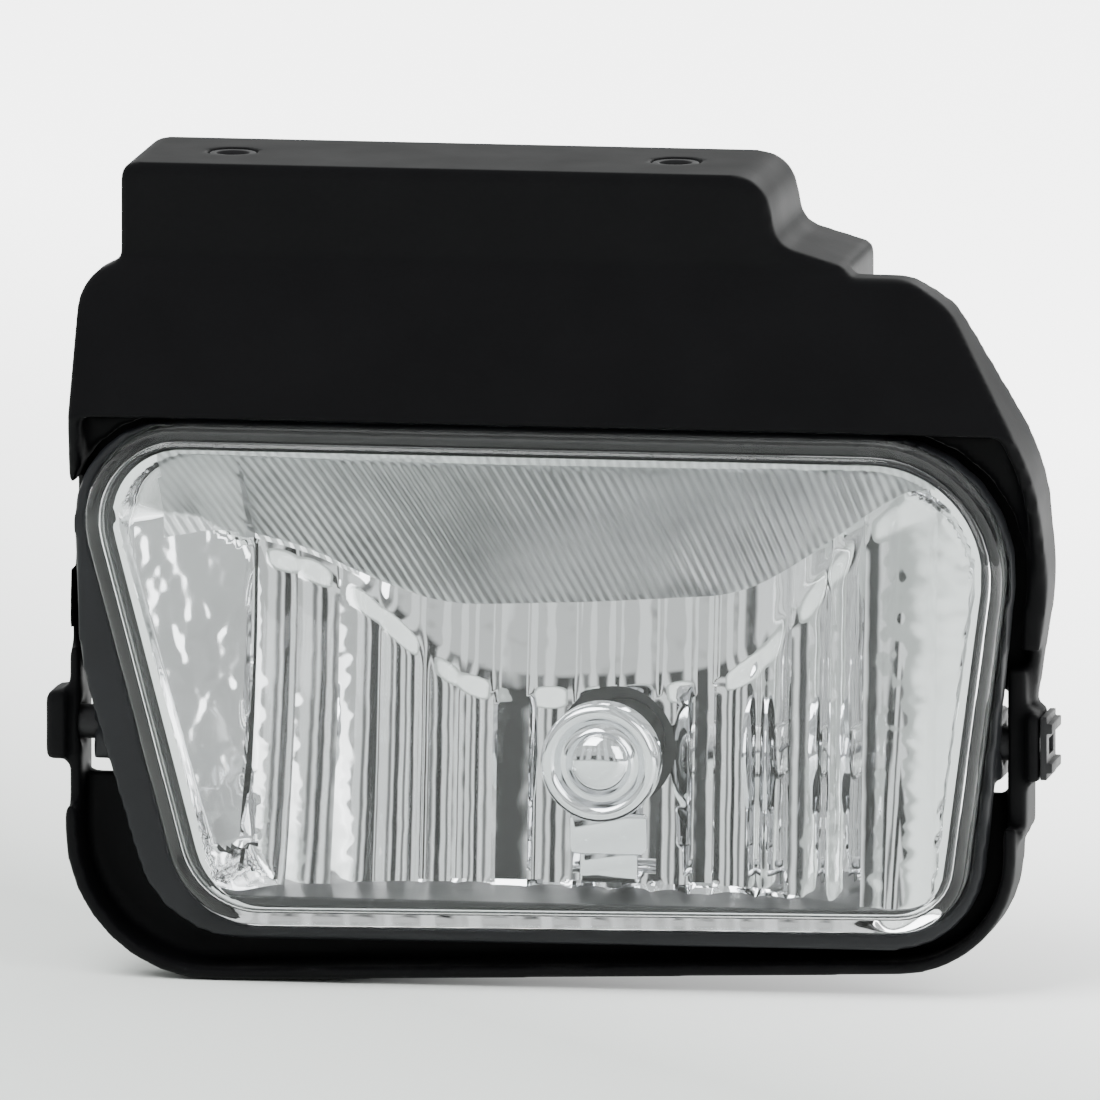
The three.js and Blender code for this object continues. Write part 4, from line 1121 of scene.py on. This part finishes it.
class FOGLIGHT_OT_bulb_base(bpy.types.Operator):
    """Moulds the bulb's base and socket with its grip ribs, blades and sealing ring"""
    bl_idname = "foglight.bulb_base"
    bl_label = "Bulb base"

    def execute(self, context):
        settings = context.scene.fog_light
        base = refined_copy("bulb_base", "bulb_base_body", 0.5, 3, self.socket_details())
        # One grip rib at the top of the twist cap, as seen from above: X, then depth.
        cap_radius, proud = 16.9, 0.55
        rib = slab("grip_rib", rectangle(-0.55, 0.55, 58.6, 61.6, 0.3), cap_radius,
                   cap_radius + proud, 0.15, "Z")
        rib.data.transform(Matrix.Translation(-DATUM))
        ribs = grown("grip_ribs", circle_tree(), {
            "Count": settings.grip_ribs, "Piece": rib, "Material": moulded_grey_nylon(),
        })
        bpy.data.objects.remove(rib)
        ribs.data.transform(at_mm(BULB.x, 0, BULB.z))
        smooth(ribs, 40)
        made = merged("bulb_base_moulding", [base, ribs])
        finish_piece(made, "bulb", "base_plastic", moulded_grey_nylon(), "bulb_base")
        for side in ("left", "right"):
            bevelled_piece(f"terminal_{side}", f"terminal_blade_{side}", 0.2,
                           "bulb", "brass_blade", tinned_brass())
        dress_node("bulb_o_ring", black_epdm_rubber())
        return {"FINISHED"}

    @staticmethod
    def socket_details():
        """The latch ramp on the connector socket's rear face and two guide ribs on each side."""
        rear = datum_mm(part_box("bulb_base")[1]).y
        root, latch_rise, rib_rise = 0.6, 1.6, 1.2
        latch_half, rib_half, socket_half = 3.0, 0.9, 9.0
        parts = [slab(
            "latch",
            rectangle(BULB.x - latch_half, BULB.x + latch_half, BULB.z - 21, BULB.z - 13, 0.8),
            rear - root, rear + latch_rise, 0.6)]
        for sign in (-1, 1):
            low, high = sorted((BULB.x + sign * (socket_half - root),
                                BULB.x + sign * (socket_half + rib_rise)))
            for y in (rear - 12, rear - 5):
                section = rectangle(y - rib_half, y + rib_half, BULB.z - 23.4, BULB.z - 4, 0.4)
                parts.append(slab("guide_rib", section, low, high, 0.4, "X"))
        return parts


# ---------------------------------------------------------------- aiming gear
class FOGLIGHT_OT_adjuster(bpy.types.Operator):
    """Cuts the aiming screw's thread and fits its nut and clip"""
    bl_idname = "foglight.adjuster"
    bl_label = "Aim adjuster"

    def execute(self, context):
        pitch = context.scene.fog_light.thread_pitch / MM
        length, start = 17.0, SCREW_LOW.y + 1.0
        thread = grown("thread", coil_tree(), {
            "Turns": length / pitch, "Length": length * MM, "Winding radius": 2.75 * MM,
            "Wire radius": 0.32 * pitch / 2 * MM, "Steps": 20, "Sides": 5,
            "Material": zinc_plated_steel(),
        })
        thread.data.transform(at_mm(SCREW.x, start, SCREW.z)
                              @ Matrix.Rotation(-math.pi / 2, 4, "X"))
        screw = bevelled_copy("adjuster_screw", "adjuster_shank", 0.3)
        made = merged("adjuster_screw_threaded", [screw, smooth(thread, 50)])
        finish_piece(made, "adjuster", "zinc_steel", zinc_plated_steel(), "adjuster_screw")
        bevelled_piece("adjuster_clip", "adjuster_clip_pressed", 0.15,
                       "adjuster", "zinc_steel", zinc_plated_steel())
        bevelled_piece("adjuster_nut", "adjuster_nut_moulded", 0.5,
                       "nut", "white_nylon", natural_acetal(), 3)
        return {"FINISHED"}


# ---------------------------------------------------------------- stage
# Each softbox: its place and its size in metres, and its power in watts. All face the origin.
SOFTBOXES = (
    ("key_softbox", (-0.5, -0.7, 1.1), 1.0, 40.0),
    ("fill_softbox", (1.1, -0.9, 0.5), 0.9, 16.0),
    ("rim_softbox", (0.35, 1.5, 0.5), 0.5, 3.0),
)
FLOOR_REACH = 14.0
# The camera: how far away it is and how wide it sees there, in metres, and what it looks at, in mm
# from the lens datum.
CAMERA_DISTANCE, VIEW_WIDTH = 9.0, 0.22
CAMERA_TARGET = (3.04, 0.0, 26.37)


class FOGLIGHT_OT_stage(bpy.types.Operator):
    """Sets the floor, the lights, the world and the camera"""
    bl_idname = "foglight.stage"
    bl_label = "Stage"

    def execute(self, context):
        floor_z = CAD_BOX[0].z
        mesh = bpy.data.meshes.new("floor")
        mesh.from_pydata([(x * FLOOR_REACH, y * FLOOR_REACH, floor_z)
                          for x, y in ((-1, -1), (1, -1), (1, 1), (-1, 1))], [], [(0, 1, 2, 3)])
        floor = linked("floor", mesh)
        floor.data.materials.append(paper_floor_painted_light())
        for name, place, size, power in SOFTBOXES:
            light = bpy.data.lights.new(name, "AREA")
            light.energy = power
            light.size = size
            holder = linked(name, light)
            holder.location = place
            holder.rotation_euler = (-Vector(place)).to_track_quat("-Z", "Y").to_euler()
            # Glossy surfaces mirror the rim softbox and the studio, not the softboxes in front.
            holder.visible_glossy = name == "rim_softbox"
        make_world(context.scene)
        settings = context.scene.fog_light
        azimuth, elevation = settings.camera_azimuth, settings.camera_elevation
        back = Vector((math.sin(azimuth) * math.cos(elevation),
                       -math.cos(azimuth) * math.cos(elevation), math.sin(elevation)))
        camera = bpy.data.cameras.new("camera")
        camera.sensor_width = 36.0
        camera.lens = camera.sensor_width * CAMERA_DISTANCE / VIEW_WIDTH
        camera.clip_start, camera.clip_end = 0.05, 60.0
        holder = linked("camera", camera)
        holder.location = DATUM + Vector(CAMERA_TARGET) * MM + back * CAMERA_DISTANCE
        holder.rotation_euler = back.to_track_quat("Z", "Y").to_euler()
        context.scene.camera = holder
        return {"FINISHED"}


# Dark upright bands low in front of the lamp, in two sets: repeats across X, their shift, the part
# of the sine wave over which dark turns to light, and how dark they get.
WORLD_BANDS = ((11.0, 1.1, -0.86, -0.4, 0.0), (23.0, 4.6, -0.9, 0.1, 0.15))
# Where they give way to a plain pale studio: the axis, from where to where, and how pale.
WORLD_PALE = (("Y", -0.35, -0.05, 1.0), ("X", 0.5, 0.75, 0.55), ("Z", 0.1, 0.16, 0.68))
WORLD_STRENGTH = 1.3


def make_world(scene):
    """A pale studio with dark upright bands in front of the lamp, which the flutes mirror."""
    world = bpy.data.worlds.new("studio")
    world.use_nodes = True
    tree = world.node_tree
    tree.nodes.clear()
    direction = add_node(tree, "ShaderNodeTexCoord").outputs["Generated"]
    parts = add_node(tree, "ShaderNodeSeparateXYZ", links={"Vector": direction})
    bands = []
    for times, shift, low, high, darkest in WORLD_BANDS:
        turns = add_node(tree, "ShaderNodeMath", {"operation": "MULTIPLY_ADD", 1: times, 2: shift},
                         {0: parts.outputs["X"]})
        wave = add_node(tree, "ShaderNodeMath", {"operation": "SINE"}, {0: turns.outputs["Value"]})
        bands.append(add_node(tree, "ShaderNodeMapRange", {
            "From Min": low, "From Max": high, "To Min": darkest, "To Max": 1.0,
        }, {"Value": wave.outputs["Value"]}))
    level = add_node(tree, "ShaderNodeMath", {"operation": "MULTIPLY"},
                     {0: bands[0].outputs["Result"], 1: bands[1].outputs["Result"]})
    for axis, start, end, pale in WORLD_PALE:
        fade = add_node(tree, "ShaderNodeMapRange", {
            "From Min": start, "From Max": end, "To Max": pale}, {"Value": parts.outputs[axis]})
        level = add_node(tree, "ShaderNodeMath", {"operation": "MAXIMUM"},
                         {0: level.outputs["Value"], 1: fade.outputs["Result"]})
    bright = add_node(tree, "ShaderNodeMath", {"operation": "MULTIPLY", 1: WORLD_STRENGTH},
                      {0: level.outputs["Value"]})
    ambient = add_node(tree, "ShaderNodeBackground", {"Color": srgb("#f8faf9")},
                       {"Strength": bright.outputs["Value"]})
    add_node(tree, "ShaderNodeOutputWorld", links={"Surface": ambient.outputs["Background"]})
    scene.world = world


class FOGLIGHT_PT_panel(bpy.types.Panel):
    """Lists the steps that build the fog light"""
    bl_label = "Fog light"
    bl_idname = "FOGLIGHT_PT_panel"
    bl_space_type = "VIEW_3D"
    bl_region_type = "UI"
    bl_category = "Fog light"

    def draw(self, context):
        layout = self.layout
        for name in FogLightSettings.__annotations__:
            layout.prop(context.scene.fog_light, name)
        for step in STEPS:
            layout.operator(step.bl_idname)


STEPS = (
    FOGLIGHT_OT_stage, FOGLIGHT_OT_bracket, FOGLIGHT_OT_pivots, FOGLIGHT_OT_sleeves,
    FOGLIGHT_OT_lens, FOGLIGHT_OT_reflector, FOGLIGHT_OT_housing, FOGLIGHT_OT_screws,
    FOGLIGHT_OT_shield,
    FOGLIGHT_OT_bulb, FOGLIGHT_OT_bulb_base, FOGLIGHT_OT_adjuster,
)


def register():
    for item in (FogLightSettings, *STEPS, FOGLIGHT_PT_panel):
        bpy.utils.register_class(item)
    bpy.types.Scene.fog_light = PointerProperty(type=FogLightSettings)


def unregister():
    del bpy.types.Scene.fog_light
    for item in (FOGLIGHT_PT_panel, *reversed(STEPS), FogLightSettings):
        bpy.utils.unregister_class(item)


def main():
    register()
    for step in STEPS:
        group, name = step.bl_idname.split(".")
        getattr(getattr(bpy.ops, group), name)()


if __name__ == "__main__":
    main()
